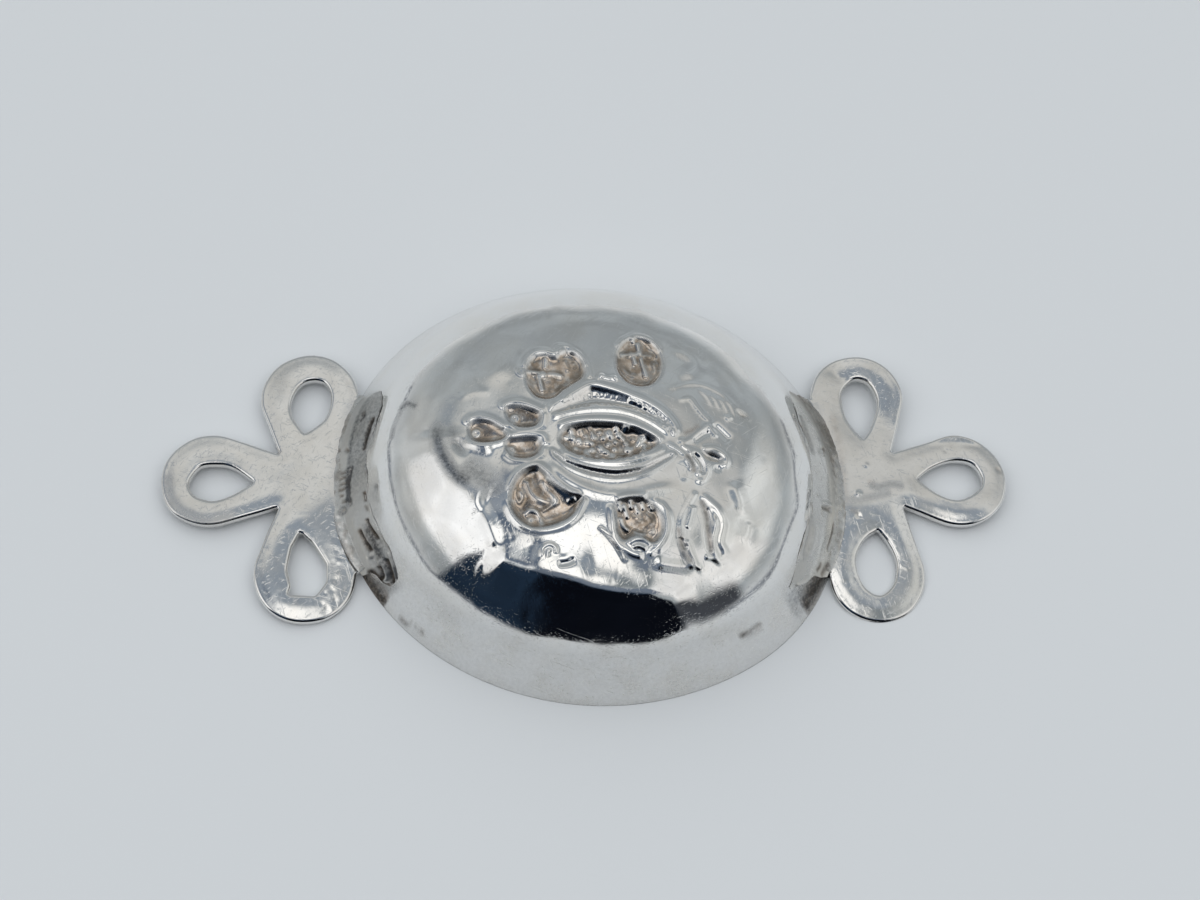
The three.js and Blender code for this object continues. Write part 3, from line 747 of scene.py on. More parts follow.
def chase_and_shade_surroundings(work):
    """Loose strokes, facets and knocks around the ornament, and painted dark reflection over the left
    shoulder.
    """
    work.ridge([(-7.9, -18.3), (-7.9, -17.0), (-6.8, -16.4), (-5.9, -17.0), (-6.0, -17.9)], 0.14, 0.25)
    work.ridge([(-7.1, -18.4), (-7.1, -17.4), (-6.5, -17.3)], 0.1, 0.25)
    work.ridge([(-5.6, -19.3), (-4.2, -19.1), (-3.2, -18.6)], -0.25, 0.4)
    work.ridge([(0.2, -13.9), (1.4, -14.8), (2.9, -16.6), (4.2, -19.2)], 0.1, 0.35)
    work.swell([(-20.4, 6.8), (-18.6, 7.9), (-16.8, 8.1), (-15.0, 7.7)], 0.05, 0.6)
    work.ridge([(-20.6, 0.8), (-19.8, -0.8), (-18.2, -2.2)], -0.3, 0.8, taper=0.4)
    work.swell([(-23.4, 2.6), (-23.2, -1.0), (-21.6, -4.6), (-18.6, -7.6), (-15.4, -9.4)], 0.5, 2.8,
               taper=0.15)
    work.swell([(-19.4, 0.4), (-17.4, -1.0), (-14.6, -1.4)], 0.22, 0.9)
    # Painted dark reflection: dark film laid over the left shoulder of the dome.
    work.cloud([(-23.0, 4.4), (-23.3, 1.0), (-22.2, -2.6), (-20.2, -5.6), (-17.6, -7.6)], 1.0, 0.9,
               taper=0.2)
    work.cloud([(-21.6, 3.6), (-20.6, 0.4), (-19.0, -2.4)], 0.6, 1.0, taper=0.3)
    work.cloud([(-20.0, -3.4), (-17.4, -5.0), (-15.4, -7.4), (-14.6, -9.4)], 0.6, 1.9, taper=0.2)
    work.swell([(-18.2, -8.6), (-16.4, -11.6), (-15.2, -14.6), (-14.6, -17.2)], 0.25, 1.1)
    work.swell([(-16.5, -17.6), (-12.8, -18.9), (-9.0, -20.0), (-5.0, -21.0), (0.0, -22.6), (5.0, -23.5),
                (10.0, -23.8), (15.0, -23.6)], 0.5, 2.2, taper=0.12)
    work.swell([(-10.0, -17.6), (-5.0, -18.4), (0.0, -19.0)], 0.16, 2.6)
    work.swell([(8.0, -18.9), (9.8, -19.3), (12.4, -19.5), (15.2, -19.6)], 0.15, 0.8)
    work.ridge([(-16.7, -18.2), (-17.3, -20.0), (-17.7, -23.0)], 0.05, 0.25)
    work.swell([(20.4, -6.0), (21.2, -8.8), (22.0, -12.0)], 0.22, 1.1, taper=0.3)
    work.swell([(22.8, -12.0), (22.4, -14.0), (21.4, -16.0)], 0.22, 1.0, taper=0.3)


def chase_ornament():
    """The whole outer face of the bowl: its chasing, the wear of its wall, and the shade painted on both.
    """
    work = Patch((-41.0, -37.0), (41.0, 37.0))
    chase_back_left_fruit(work)
    chase_back_right_fruit(work)
    chase_front_left_fruit(work)
    chase_front_right_fruit(work)
    chase_pod(work)
    chase_buds(work)
    chase_stems(work)
    chase_leaves(work)
    chase_and_shade_surroundings(work)
    wear_and_shade_wall(work)
    return work.finish()


def wear_and_shade_wall(work):
    """Knocks, scratches and stains of the bowl's wall, and painted shadow and dark reflection on the wall
    below the strap ends.
    """
    work.knocks(260, 0.45, 0.025, seed=71)
    work.scores(200, 5.0, 0.012, seed=72)
    work.cloud([(-28.9, 7.0), (-27.9, 7.9), (-26.4, 6.6)], 1.6, 0.4)
    work.cloud([(-30.2, 2.0), (-29.7, 4.6), (-28.8, 7.2)], 1.2, 0.16)
    work.ridge([(-28.6, -23.4), (-28.0, -24.4), (-27.2, -25.0)], -0.08, 0.25)
    work.grime_and_shade([(-29.0, -21.4), (-28.0, -22.6), (-27.0, -23.2)], 0.6, 0.16)
    work.grime_and_shade([(-26.8, -23.4), (-26.0, -24.2), (-24.8, -24.6)], 0.6, 0.12)
    work.ridge([(21.4, -26.6), (23.0, -26.0), (25.0, -24.6)], -0.12, 0.25)
    work.grime_and_shade([(21.4, -26.7), (23.0, -26.1), (25.2, -24.6)], 0.7, 0.25)
    # Painted shadow and dark reflection on the wall below each strap end, laid as grime.
    work.grime_and_shade([(-35.4, -13.6), (-33.9, -15.9), (-32.2, -17.9), (-30.8, -19.6)], 1.0, 0.8)
    work.grime_and_shade([(34.8, -13.4), (34.6, -16.4), (33.4, -19.0), (32.2, -21.0)], 0.9, 1.0)
    work.cloud([(33.0, -15.0), (32.0, -18.4), (29.6, -22.0)], 0.5, 1.6)
    x, y = work.places.T
    x = x - BOWL_CENTRE_X
    reach = np.hypot(x, y) / rim_radius(np.arctan2(y, x)) * MEAN_RADIUS
    work.film_and_shade += SATIN_FILM * smooth_step(SATIN_FROM, SATIN_TO, reach)
    work.film_and_shade *= 1 - FILM_THINNING_AT_BACK * smooth_step(-10.0, 20.0, y)


# Straps as worked, over Y and height

def along_line(line, y):
    """Height or stand read off a line of points along Y."""
    points = np.array(line)
    return np.interp(y, points[:, 0], points[:, 1])


def smooth_min(first, second, softness):
    return -softness * np.logaddexp(-first / softness, -second / softness)


RIDGE_SOFTNESS = 0.12


def strap_out(strap, y, height):
    """How far a strap's face stands off the wall: a lower facet, a soft ridge and an upper facet."""
    lower = along_line(strap["seam"], y) - strap["lean"] * (height - PLATE_TOP)
    upper = strap["rise"] * (along_line(strap["top"], y) - height)
    return smooth_min(lower, upper, RIDGE_SOFTNESS)


def work_and_shade_left_strap():
    """The left strap: a dull film with painted shade over its upper facet, a soldered middle and a
    scrolled front end.
    """
    work = Patch((-21.0, 1.0), (16.0, 11.0))
    # Painted shade: the film darkens the upper facet, most towards the back and at the front end.
    shaded_facet = smooth_step(4.5, 5.1, work.places[:, 1])
    work.film_and_shade += 0.15 + 0.5 * shaded_facet * smooth_step(-8.0, 2.0, work.places[:, 0])
    work.film_and_shade += 0.3 * shaded_facet * smooth_step(-8.0, -14.0, work.places[:, 0])
    work.groove([(3.0, 7.3), (5.0, 7.7), (7.0, 8.1), (9.2, 8.4)], 0.3, 0.3, 1.4, 0.22)
    work.ridge([(5.6, 7.3), (7.2, 7.6), (8.6, 7.8)], 0.18, 0.3)
    work.ridge([(1.0, 4.6), (4.0, 4.7), (8.0, 4.7), (10.4, 4.6)], 0.1, 0.2)
    work.cloud([(1.2, 5.0), (4.0, 5.1), (8.0, 5.2), (10.4, 5.1)], 0.35, 0.25)
    work.groove([(3.8, 4.8), (4.3, 4.4), (4.7, 3.8)], 0.35, 0.3, 0.7, 0.25)
    work.groove([(4.6, 2.8), (5.2, 2.2)], 0.25, 0.25, 0.6, 0.25)
    work.ball(9.5, 6.3, 0.5, -0.3)
    work.grime_and_shade([(8.6, 6.2), (9.6, 6.3), (10.6, 6.0)], 0.5, 0.35)
    work.ridge([(9.8, 5.4), (10.4, 5.5)], 0.2, 0.25)
    work.ridge([(-4.4, 7.1), (-5.8, 6.9)], -0.25, 0.2)
    work.grime_and_shade([(-4.0, 7.2), (-5.8, 7.0)], 1.4, 0.22)
    work.groove([(-6.2, 6.7), (-7.4, 7.0)], 0.15, 0.18, 0.6, 0.15)
    pit_solder(work)
    scroll_front_end(work)
    work.knocks(120, 0.35, 0.05, seed=73)
    return work.finish()


def pit_solder(work):
    """Pits and runs of solder in the middle of the left joint."""
    work.hollow([(-3.2, 4.5), (-1.4, 4.5), (0.2, 4.6), (1.0, 4.6), (1.1, 5.5), (0.0, 5.3), (-1.4, 5.1),
                 (-3.2, 4.9)], 0.55, 0.4, tarnish=1.0)
    work.hollow([(-4.9, 4.2), (-3.8, 4.2), (-3.8, 4.7), (-4.8, 4.8)], 0.35, 0.3, tarnish=0.9)
    work.hollow([(-5.6, 3.0), (-4.9, 2.9), (-4.7, 3.5), (-5.3, 3.7)], 0.35, 0.3, tarnish=0.9)
    work.cloud([(-4.8, 4.5), (-3.0, 4.7), (-1.2, 4.8), (0.9, 5.2)], 1.3, 0.22)
    for y, top, bottom in ((-4.1, 4.3, 3.3), (-3.0, 3.9, 3.1), (-2.1, 4.4, 3.0), (-1.2, 4.5, 3.3),
                           (-0.3, 4.5, 3.2), (0.5, 4.5, 3.6)):
        work.groove([(y, top), (y + 0.2, bottom)], 0.25, 0.16, 0.8, 0.16)
        work.ridge([(y + 0.45, top), (y + 0.65, bottom)], 0.16, 0.16)


def scroll_front_end(work):
    """Drawn ridges towards the front end of the left strap, and the folded scroll that it ends in."""
    work.ridge([(-14.4, 7.1), (-13.0, 7.4), (-11.0, 7.1), (-8.6, 6.7)], 0.2, 0.2)
    work.ridge([(-13.8, 7.0), (-12.2, 7.05), (-10.2, 6.65), (-8.2, 6.35)], -0.35, 0.25)
    work.grime_and_shade([(-12.4, 7.05), (-10.2, 6.65), (-8.2, 6.35)], 1.5, 0.2)
    work.cloud([(-17.0, 6.0), (-14.0, 6.4), (-11.0, 6.2), (-8.6, 6.0)], 0.5, 0.5)
    work.grime_and_shade([(-15.0, 6.0), (-12.0, 6.2), (-9.6, 6.0)], 0.35, 0.4)
    work.ridge([(-15.0, 5.8), (-12.4, 5.9), (-9.0, 5.6)], 0.15, 0.25)
    work.ridge([(-14.6, 5.2), (-13.2, 5.5), (-11.2, 5.1), (-9.0, 4.9)], -0.3, 0.22)
    work.grime_and_shade([(-13.2, 5.4), (-11.2, 5.1), (-9.0, 4.9)], 1.4, 0.22)
    work.ball(-13.5, 4.95, 0.5, 0.25)
    work.ridge([(-14.8, 4.4), (-12.0, 4.6), (-9.6, 4.5), (-7.0, 4.6)], 0.12, 0.3)
    work.ridge([(-18.7, 4.6), (-18.4, 5.6), (-17.4, 6.5), (-15.8, 7.2), (-14.4, 7.4)], 0.3, 0.22)
    work.ridge([(-18.2, 4.6), (-17.9, 5.4), (-16.8, 6.2), (-15.2, 6.7)], -0.4, 0.22)
    work.grime_and_shade([(-18.3, 4.6), (-17.9, 5.4), (-16.8, 6.2), (-15.2, 6.7)], 1.5, 0.2)
    work.ridge([(-17.6, 4.4), (-17.2, 5.2), (-16.0, 5.8), (-14.8, 5.7)], 0.35, 0.25)
    work.ridge([(-16.9, 4.2), (-16.4, 4.9), (-15.4, 5.2)], -0.4, 0.25)
    work.grime_and_shade([(-17.0, 4.1), (-16.4, 4.9), (-15.2, 5.2)], 1.0, 0.25)
    work.grime_and_shade([(-18.4, 4.2), (-16.8, 4.0), (-15.4, 4.0), (-15.0, 3.0)], 1.0, 0.35)
    work.ball(-17.4, 4.5, 0.5, 0.25)


def work_and_shade_right_strap():
    """The right strap: painted shade with olive tarnish in the hollow along its foot, chisel cuts and
    filed strokes.
    """
    work = Patch((-21.5, 1.0), (16.5, 11.0))
    y, height = work.places.T
    edge = 5.4 + 1.4 * smooth_step(-6.0, 12.0, y)
    cove = smooth_step(edge + 1.0, edge - 0.4, height)
    shade = smooth_step(3.6, 4.6, height) + smooth_step(2.0, 7.0, y)
    # Painted shade: the film darkens the hollow along the foot, and tarnish tints it olive.
    work.film_and_shade += 0.1 + 0.27 * cove * np.clip(shade, 0, 1) * smooth_step(-9.0, 0.0, y)
    work.tarnish += 0.35 * cove * smooth_step(-2.0, 8.0, y)
    work.hollow([(-16.8, 8.1), (-15.0, 8.7), (-13.0, 8.85), (-11.0, 9.1), (-9.4, 9.3), (-10.6, 8.8),
                 (-12.0, 8.3), (-14.0, 8.1)], 0.5, 0.3, tarnish=0.35)
    work.ridge([(-17.2, 8.1), (-15.0, 8.95), (-12.4, 9.15), (-9.6, 9.4)], 0.15, 0.16)
    work.ridge([(-15.6, 7.8), (-13.0, 7.9), (-10.6, 8.3)], 0.12, 0.2)
    work.hollow([(2.0, 9.2), (4.0, 9.5), (6.0, 9.6), (8.0, 9.4), (9.2, 8.9), (6.0, 9.1), (4.0, 9.0)],
                0.35, 0.25, tarnish=0.6)
    work.ridge([(-9.8, 9.2), (-8.6, 9.2)], -0.2, 0.2)
    work.ball(-5.4, 8.4, 0.35, -0.25)
    work.groove([(-7.1, 7.8), (-6.8, 6.8), (-6.4, 5.8)], 0.4, 0.3, 0.6, 0.28)
    work.ridge([(-6.3, 7.9), (-6.0, 6.9), (-5.7, 6.0)], 0.4, 0.28)
    work.ridge([(-8.4, 7.3), (-7.4, 7.5)], -0.2, 0.25)
    work.ridge([(2.2, 7.7), (3.4, 7.4)], 0.35, 0.28)
    work.ridge([(2.6, 7.1), (3.4, 6.8), (4.2, 6.2)], -0.3, 0.3)
    work.grime_and_shade([(2.8, 7.0), (3.4, 6.8), (4.2, 6.2)], 0.5, 0.3)
    work.ridge([(-20.0, 6.6), (-19.0, 6.1), (-17.6, 5.9)], 0.2, 0.22)
    work.grime_and_shade([(-16.4, 5.4), (-15.4, 5.1), (-14.8, 5.3)], 0.7, 0.3)
    work.grime_and_shade([(-12.6, 4.7), (-11.0, 4.6), (-9.4, 4.5), (-7.6, 4.4)], 0.8, 0.28)
    work.grime_and_shade([(-16.2, 3.9), (-14.8, 3.6), (-13.6, 3.0)], 0.6, 0.5)
    work.ridge([(-12.6, 4.6), (-11.0, 4.5), (-9.4, 4.4), (-7.6, 4.3)], -0.2, 0.25)
    for k in range(9):
        y = -12.0 + 2.3 * k
        work.ridge([(y, 4.6), (y + 0.9, 3.4), (y + 1.7, 2.3)], 0.1 if k % 2 else -0.1, 0.25)
    work.knocks(120, 0.35, 0.05, seed=74)
    return work.finish()


# Plates as worn, over X and Y

def wear_left_plate():
    """The left plate: file marks by the bowl, stained notches and a dull front."""
    work = Patch((-67.0, -24.0), (-34.0, 23.0))
    work.knocks(150, 0.4, 0.02, seed=75)
    work.scores(60, 3.5, 0.012, seed=76)
    rng = np.random.default_rng(79)
    for y in np.arange(-21.0, -8.0, 0.42):
        x = -38.6 + 0.1 * (y + 14) + rng.normal(0, 0.7)
        turn = rng.uniform(-0.5, 0.5)
        end = (x + 0.9 * math.sin(turn), y + 0.9 * math.cos(turn))
        work.ridge([(x, y), end], rng.uniform(-0.05, 0.05), 0.2, taper=0.3)
    work.stain([(-47.6, 4.5), (-48.4, 5.4)], 0.9, 0.3)
    work.stain([(-47.9, -4.2), (-48.8, -5.0)], 0.7, 0.3)
    work.cloud([(-48.6, 12.4), (-47.4, 18.4), (-43.0, 21.2), (-38.6, 18.4)], 0.12, 1.2)
    work.cloud([(-65.0, 2.0), (-63.6, -3.6), (-59.0, -6.6), (-53.0, -5.4)], 0.18, 1.2)
    return work.finish()


def wear_right_plate():
    """The right plate: pits, a brown root and a dull middle."""
    work = Patch((34.0, -24.0), (67.0, 23.0))
    work.knocks(150, 0.4, 0.02, seed=77)
    work.scores(60, 3.5, 0.012, seed=78)
    work.ball(42.1, -2.1, 0.55, 0.2)
    work.ball(41.8, -5.7, 0.4, -0.12)
    work.ball(43.7, 2.8, 0.4, 0.08)
    work.ball(56.6, 5.3, 0.4, -0.06)
    work.ball(64.8, 2.0, 0.4, -0.06)
    work.stain([(64.3, 2.6), (65.0, 1.2)], 0.5, 0.35)
    work.stain([(40.6, -4.6), (41.9, -5.6)], 0.5, 0.4)
    work.cloud([(43.6, -0.4), (45.4, -0.9), (47.4, -0.4), (49.6, -0.9)], 0.4, 0.55)
    work.stain([(43.6, 0.2), (44.9, -0.6)], 0.3, 0.5)
    work.cloud([(40.2, -3.2), (44.0, -2.6), (47.6, -1.8)], 0.25, 0.7)
    work.stain([(38.8, 12.4), (39.6, 6.0), (39.9, 0.0), (39.4, -4.6)], 0.45, 0.7)
    work.ridge([(47.2, -12.9), (48.2, -13.6), (49.3, -14.2)], 0.05, 0.15)
    work.swell([(38.8, 20.0), (41.4, 17.4)], -0.05, 0.8)
    return work.finish()


CHASED_BOWL = chase_ornament()


# Meshes

def make_mesh(name, points, faces):
    """A smooth mesh piece from points in millimetres and faces of three or four corners."""
    mesh = bpy.data.meshes.new(name)
    mesh.from_pydata((np.asarray(points) * MM).tolist(), [], faces)
    mesh.validate()
    mesh.shade_smooth()
    piece = bpy.data.objects.new(name, mesh)
    bpy.context.scene.collection.objects.link(piece)
    return piece


def set_attribute(piece, name, values):
    """A value for each point of a piece, for its material to read."""
    attribute = piece.data.attributes.new(name, "FLOAT", "POINT")
    attribute.data.foreach_set("value", np.asarray(values, np.float32))


def ring_faces(first, second, count):
    """Four-cornered faces between two closed rings of equal count, given their first points."""
    here = np.arange(count)
    after = (here + 1) % count
    return np.column_stack([first + here, second + here, second + after, first + after]).tolist()


# Unevenness of the sheet: size, height and seed of the hammering, and of the planishing after it
HAMMERING = (11.0, 0.045, 11)
PLANISHING = (4.5, 0.015, 12)
TRUE_RIM_WIDTH = 4.0


def sheet_points(angle, reach, depth):
    """Places on the sheet at a depth below its outer face."""
    plain = over_bowl(angle, reach, 0.0)
    x, y, _ = plain.T
    uneven = sum(height * hammering(plain, size, seed) for size, height, seed in (HAMMERING, PLANISHING))
    fade = smooth_step(MEAN_RADIUS, MEAN_RADIUS - TRUE_RIM_WIDTH, reach)
    lift = fade * (CHASED_BOWL.read(CHASED_BOWL.lift, x, y) + uneven)
    return over_bowl(angle, reach, lift - depth)


def sheet_rings(reaches, segments, depth):
    """Closed rings of points over the sheet, one for each reach."""
    angles = 2 * math.pi * np.arange(segments) / segments
    return sheet_points(np.tile(angles, len(reaches)), np.repeat(reaches, segments), depth)


def staggered_net(low, high, spacing):
    """A net of points in staggered rows that fills a rectangle."""
    rows = []
    for k, y in enumerate(np.arange(low[1], high[1], spacing * math.sqrt(3) / 2)):
        x = np.arange(low[0] + (k % 2) * spacing / 2, high[0], spacing)
        rows.append(np.column_stack([x, np.full(len(x), y)]))
    return np.vstack(rows)


def filled(loops, extra):
    """Triangles that fill the first loop, leave out the others and use the extra points too."""
    corners = [Vector(p) for loop in loops for p in loop.tolist()]
    edges = []
    start = 0
    for loop in loops:
        edges += [(start + k, start + (k + 1) % len(loop)) for k in range(len(loop))]
        start += len(loop)
    corners += [Vector(p) for p in extra.tolist()]
    points, _, faces, _, _, _ = delaunay_2d_cdt(corners, edges, [], 0, 1e-5)
    if len(points) != len(corners):
        raise RuntimeError("points of a filled outline fell together")
    places = np.array([tuple(p) for p in points])
    corner = np.array(faces)
    middles = places[corner].mean(axis=1)
    kept = is_inside(middles, loops[0])
    for hole in loops[1:]:
        kept &= ~is_inside(middles, hole)
    return corner[kept]


def bowl_top(angles):
    """The fine net over the ornament, with its border first: its points and its faces."""
    scale = rim_radius(angles) / MEAN_RADIUS
    border = from_middle(angles, ORNAMENT_REACH * scale, 0.0)[:, :2]
    net = staggered_net(border.min(axis=0), border.max(axis=0), ORNAMENT_STEP)
    x, y = net[:, 0] - BOWL_CENTRE_X, net[:, 1]
    net_angle = np.arctan2(y, x)
    net_reach = np.hypot(x, y) / rim_radius(net_angle) * MEAN_RADIUS
    kept = net_reach < ORNAMENT_REACH - ORNAMENT_STEP / 2
    angle = np.concatenate([angles, net_angle[kept]])
    reach = np.concatenate([np.full(BOWL_SEGMENTS, ORNAMENT_REACH), net_reach[kept]])
    return sheet_points(angle, reach, 0.0), filled([border], net[kept]).tolist()


# The lip that the bowl rests on: its rounding outside and inside, and where the inside begins
LIP_OUTSIDE = 0.12
LIP_OUTSIDE_HEIGHT = 0.08
LIP_SIDE = 0.02
LIP_INSIDE = 0.2
LIP_INSIDE_HEIGHT = 0.15
INSIDE_FROM = 0.8


def bowl_lip(angles):
    """Four rings round the lip, from its outer side to its inner side."""
    radius = rim_radius(angles)
    edge_width = SHEET_THICKNESS / math.sin(RIM_SLOPE)
    return [
        from_middle(angles, radius - LIP_SIDE, LIP_OUTSIDE_HEIGHT),
        from_middle(angles, radius - LIP_OUTSIDE, 0.0),
        from_middle(angles, radius - edge_width + LIP_INSIDE, 0.0),
        from_middle(angles, radius - edge_width, LIP_INSIDE_HEIGHT),
    ]


def inside_faces(lip, first, rings):
    """Faces from the lip's last ring to the coarser inside, down its rings and over its middle."""
    faces = []
    ratio = BOWL_SEGMENTS // INSIDE_SEGMENTS
    for k in range(INSIDE_SEGMENTS):
        wide = [lip + (k * ratio + j) % BOWL_SEGMENTS for j in range(ratio + 1)]
        faces += [(wide[j], first + k, wide[j + 1]) for j in range(ratio)]
        faces.append((wide[-1], first + k, first + (k + 1) % INSIDE_SEGMENTS))
    for ring in range(rings - 1):
        start = first + ring * INSIDE_SEGMENTS
        faces += ring_faces(start, start + INSIDE_SEGMENTS, INSIDE_SEGMENTS)
    last = first + (rings - 1) * INSIDE_SEGMENTS
    middle = last + INSIDE_SEGMENTS
    faces += [(last + k, middle, last + (k + 1) % INSIDE_SEGMENTS) for k in range(INSIDE_SEGMENTS)]
    return faces


def make_bowl():
    """One sheet: a fine net over the ornament, rings down the wall, a lip, and the inside."""
    angles = 2 * math.pi * np.arange(BOWL_SEGMENTS) / BOWL_SEGMENTS
    top, faces = bowl_top(angles)
    wall_rings = round((MEAN_RADIUS - ORNAMENT_REACH) / WALL_STEP)
    wall_reaches = np.linspace(ORNAMENT_REACH, MEAN_RADIUS - LIP_OUTSIDE, wall_rings + 1)[1:]
    wall = sheet_rings(wall_reaches, BOWL_SEGMENTS, 0.0)
    lip = bowl_lip(angles)
    inside_rings = round(MEAN_RADIUS / INSIDE_STEP)
    inside_reaches = np.linspace(MEAN_RADIUS - INSIDE_FROM, INSIDE_STEP, inside_rings)
    inside = sheet_rings(inside_reaches, INSIDE_SEGMENTS, SHEET_THICKNESS)
    middle = sheet_points(np.zeros(1), np.zeros(1), SHEET_THICKNESS)
    points = np.vstack([top, wall, *lip, inside, middle])
    rings = [0] + [len(top) + k * BOWL_SEGMENTS for k in range(wall_rings + len(lip))]
    for first, second in zip(rings, rings[1:]):
        faces += ring_faces(first, second, BOWL_SEGMENTS)
    faces += inside_faces(rings[-1], rings[-1] + BOWL_SEGMENTS, inside_rings)
    piece = make_mesh("silver_bowl_sheet", points, faces)
    CHASED_BOWL.mark(piece, points[:, 0], points[:, 1])
    return piece


# Handle plates
ARC_SPACING = 0.25
ROOT_STEPS = 60
ROOT_CLEARANCE = 0.05


def touch_angle(middle, radius, spot, turn_sign):
    """The angle on a round where a line from the spot just touches it."""
    x = spot[0] - middle[0]
    y = spot[1] - middle[1]
    return math.atan2(y, x) + turn_sign * math.acos(radius / math.hypot(x, y))


def round_points(middle, radius, start, end):
    """Points anticlockwise along an arc."""
    while end < start:
        end += 2 * math.pi
    angles = np.linspace(start, end, max(3, round((end - start) * radius / ARC_SPACING)))
    return np.column_stack([middle[0] + radius * np.cos(angles), middle[1] + radius * np.sin(angles)])


def plate_outline(plate):
    """The outline of a plate, drawn on the right: three lobes, two notches and the root."""
    root_angles = np.linspace(plate["root_to"], plate["root_from"], ROOT_STEPS)
    distance = wall_distance(root_angles, PLATE_BOTTOM) + ROOT_CLEARANCE
    root = from_middle(root_angles, distance, 0.0)[:, :2]
    root[:, 0] = np.abs(root[:, 0])
    lobes = []
    ends = [
        (plate["front"], root[-1], plate["front_notch"]),
        (plate["outer"], plate["front_notch"], plate["back_notch"]),
        (plate["back"], plate["back_notch"], root[0]),
    ]
    for k, ((x, y, radius), before, after) in enumerate(ends):
        start = touch_angle((x, y), radius, before, 1)
        end = touch_angle((x, y), radius, after, -1)
        if k == 0:
            start = math.atan2(before[1] - y, before[0] - x)
        if k == 2:
            end = math.atan2(after[1] - y, after[0] - x)
        lobes.append(round_points((x, y), radius, start, end))
    front, outer, back = lobes
    return np.vstack([front, [plate["front_notch"]], outer, [plate["back_notch"]], back, root[1:-1]])


def pierced(hole):
    """A filed hole: a sharp point, two slightly full sides and a round far end."""
    return smooth_line(hole + hole[:1])[:-1]


# A cut edge: its fine and its final spacing, the rounding of its corners, and its unevenness
FINE_SPACING = 0.05
CUT_SPACING = 0.3
CORNER_ROUNDING = 0.16
HAND_CUT = 0.03
HAND_CUT_LENGTH = 6.0


def hand_cut(outline, seed):
    """The outline as a piercing saw and a file leave it: evenly spaced, softened and uneven."""
    fine = evenly(outline, FINE_SPACING, closed=True)
    reach = round(3 * CORNER_ROUNDING / FINE_SPACING)
    weights = np.exp(-0.5 * (np.arange(-reach, reach + 1) * FINE_SPACING / CORNER_ROUNDING) ** 2)
    weights /= weights.sum()
    soft = sum(w * np.roll(fine, k - reach, axis=0) for k, w in enumerate(weights))
    line = evenly(soft, CUT_SPACING, closed=True)
    uneven = HAND_CUT * hammering(line, HAND_CUT_LENGTH, seed)
    return line + outward(line) * uneven[:, None]


def outward(line):
    """Unit normals of an anticlockwise closed line, pointing out of it."""
    step = np.roll(line, -1, axis=0) - np.roll(line, 1, axis=0)
    step /= np.hypot(*step.T)[:, None]
    return np.column_stack([step[:, 1], -step[:, 0]])


def anticlockwise(line):
    """The closed line, turned round where it runs clockwise."""
    after = np.roll(line, -1, axis=0)
    area = (line[:, 0] * after[:, 1] - line[:, 1] * after[:, 0]).sum()
    return line if area > 0 else line[::-1]


# A plate's edge: how it is rounded above and below, and where that begins beside the bowl
EDGE_ROUNDING = 0.5
EDGE_STEPS = 6
UNDER_ROUNDING = 0.35
UNDER_STEPS = 3
WALL_GAP_FROM = 0.3
WALL_GAP_TO = 1.8

# A plate's faces: spacing of their points, wear towards the edges, and clearance over the table
UNDER_SPACING = 0.8
FACE_SPACING = 0.32
FACE_MARGIN = 0.6
OUTER_CROWN = 0.09
HOLE_CROWN = 0.035
CROWN_WIDTH = 1.1
WEAR_SIZE = 1.3
WEAR_HEIGHT = 0.0012
TABLE_CLEARANCE = 0.06


def edge_profile():
    """Insets and heights from the underside round the edge to the top face."""
    profile = []
    for k in range(UNDER_STEPS + 1):
        turn = math.pi / 2 * k / UNDER_STEPS
        inset = UNDER_ROUNDING * (1 - math.sin(turn))
        profile.append((inset, PLATE_BOTTOM + UNDER_ROUNDING * (1 - math.cos(turn))))
    for k in range(EDGE_STEPS + 1):
        turn = math.pi / 2 * k / EDGE_STEPS
        inset = EDGE_ROUNDING * (1 - math.cos(turn))
        profile.append((inset, PLATE_TOP - EDGE_ROUNDING * (1 - math.sin(turn))))
    return profile


def off_the_wall(line, side):
    """Nought beside the bowl's wall, where the edge is buried in solder, and one clear of it."""
    x = side * line[:, 0] - BOWL_CENTRE_X
    angle = np.arctan2(line[:, 1], x)
    gap = np.hypot(x, line[:, 1]) - wall_distance(angle, PLATE_BOTTOM)
    return smooth_step(WALL_GAP_FROM, WALL_GAP_TO, gap)


def plate_loops(plate, seed):
    """The cut outline of a plate and those of its holes."""
    outline = hand_cut(anticlockwise(plate_outline(plate)), seed)
    cuts = [pierced(hole) for hole in plate["holes"]] + [np.array(hole) for hole in plate["sawn_holes"]]
    return [outline] + [hand_cut(anticlockwise(cut), seed + 1 + k) for k, cut in enumerate(cuts)]


def plate_edge(line, inward, side, points, faces):
    """Adds one rounded edge to points and faces. Gives its lowest and highest ring."""
    normal = outward(line) * inward * off_the_wall(line, side)[:, None]
    first = len(points)
    profile = edge_profile()
    for inset, height in profile:
        ring = line + normal * inset
        points += np.column_stack([ring, np.full(len(ring), height)]).tolist()
    for k in range(len(profile) - 1):
        lower = first + k * len(line)
        quads = ring_faces(lower, lower + len(line), len(line))
        faces += [quad[::-1] for quad in quads] if inward < 0 else quads
    lowest = (line + normal * profile[0][0], first)
    highest = (line + normal * profile[-1][0], first + (len(profile) - 1) * len(line))
    return lowest, highest


def plate_face(rings, height, spacing, points, faces):
    """Adds the upper or the lower face to points and faces, filled in between the edges' rings."""
    borders = [border for border, _ in rings]
    extra = face_points(borders, spacing)
    indices = [first + k for border, first in rings for k in range(len(border))]
    indices += [len(points) + k for k in range(len(extra))]
    points += np.column_stack([extra, np.full(len(extra), height)]).tolist()
    for face in filled(borders, extra):
        corner = [indices[k] for k in face]
        faces.append(corner if height == PLATE_TOP else corner[::-1])


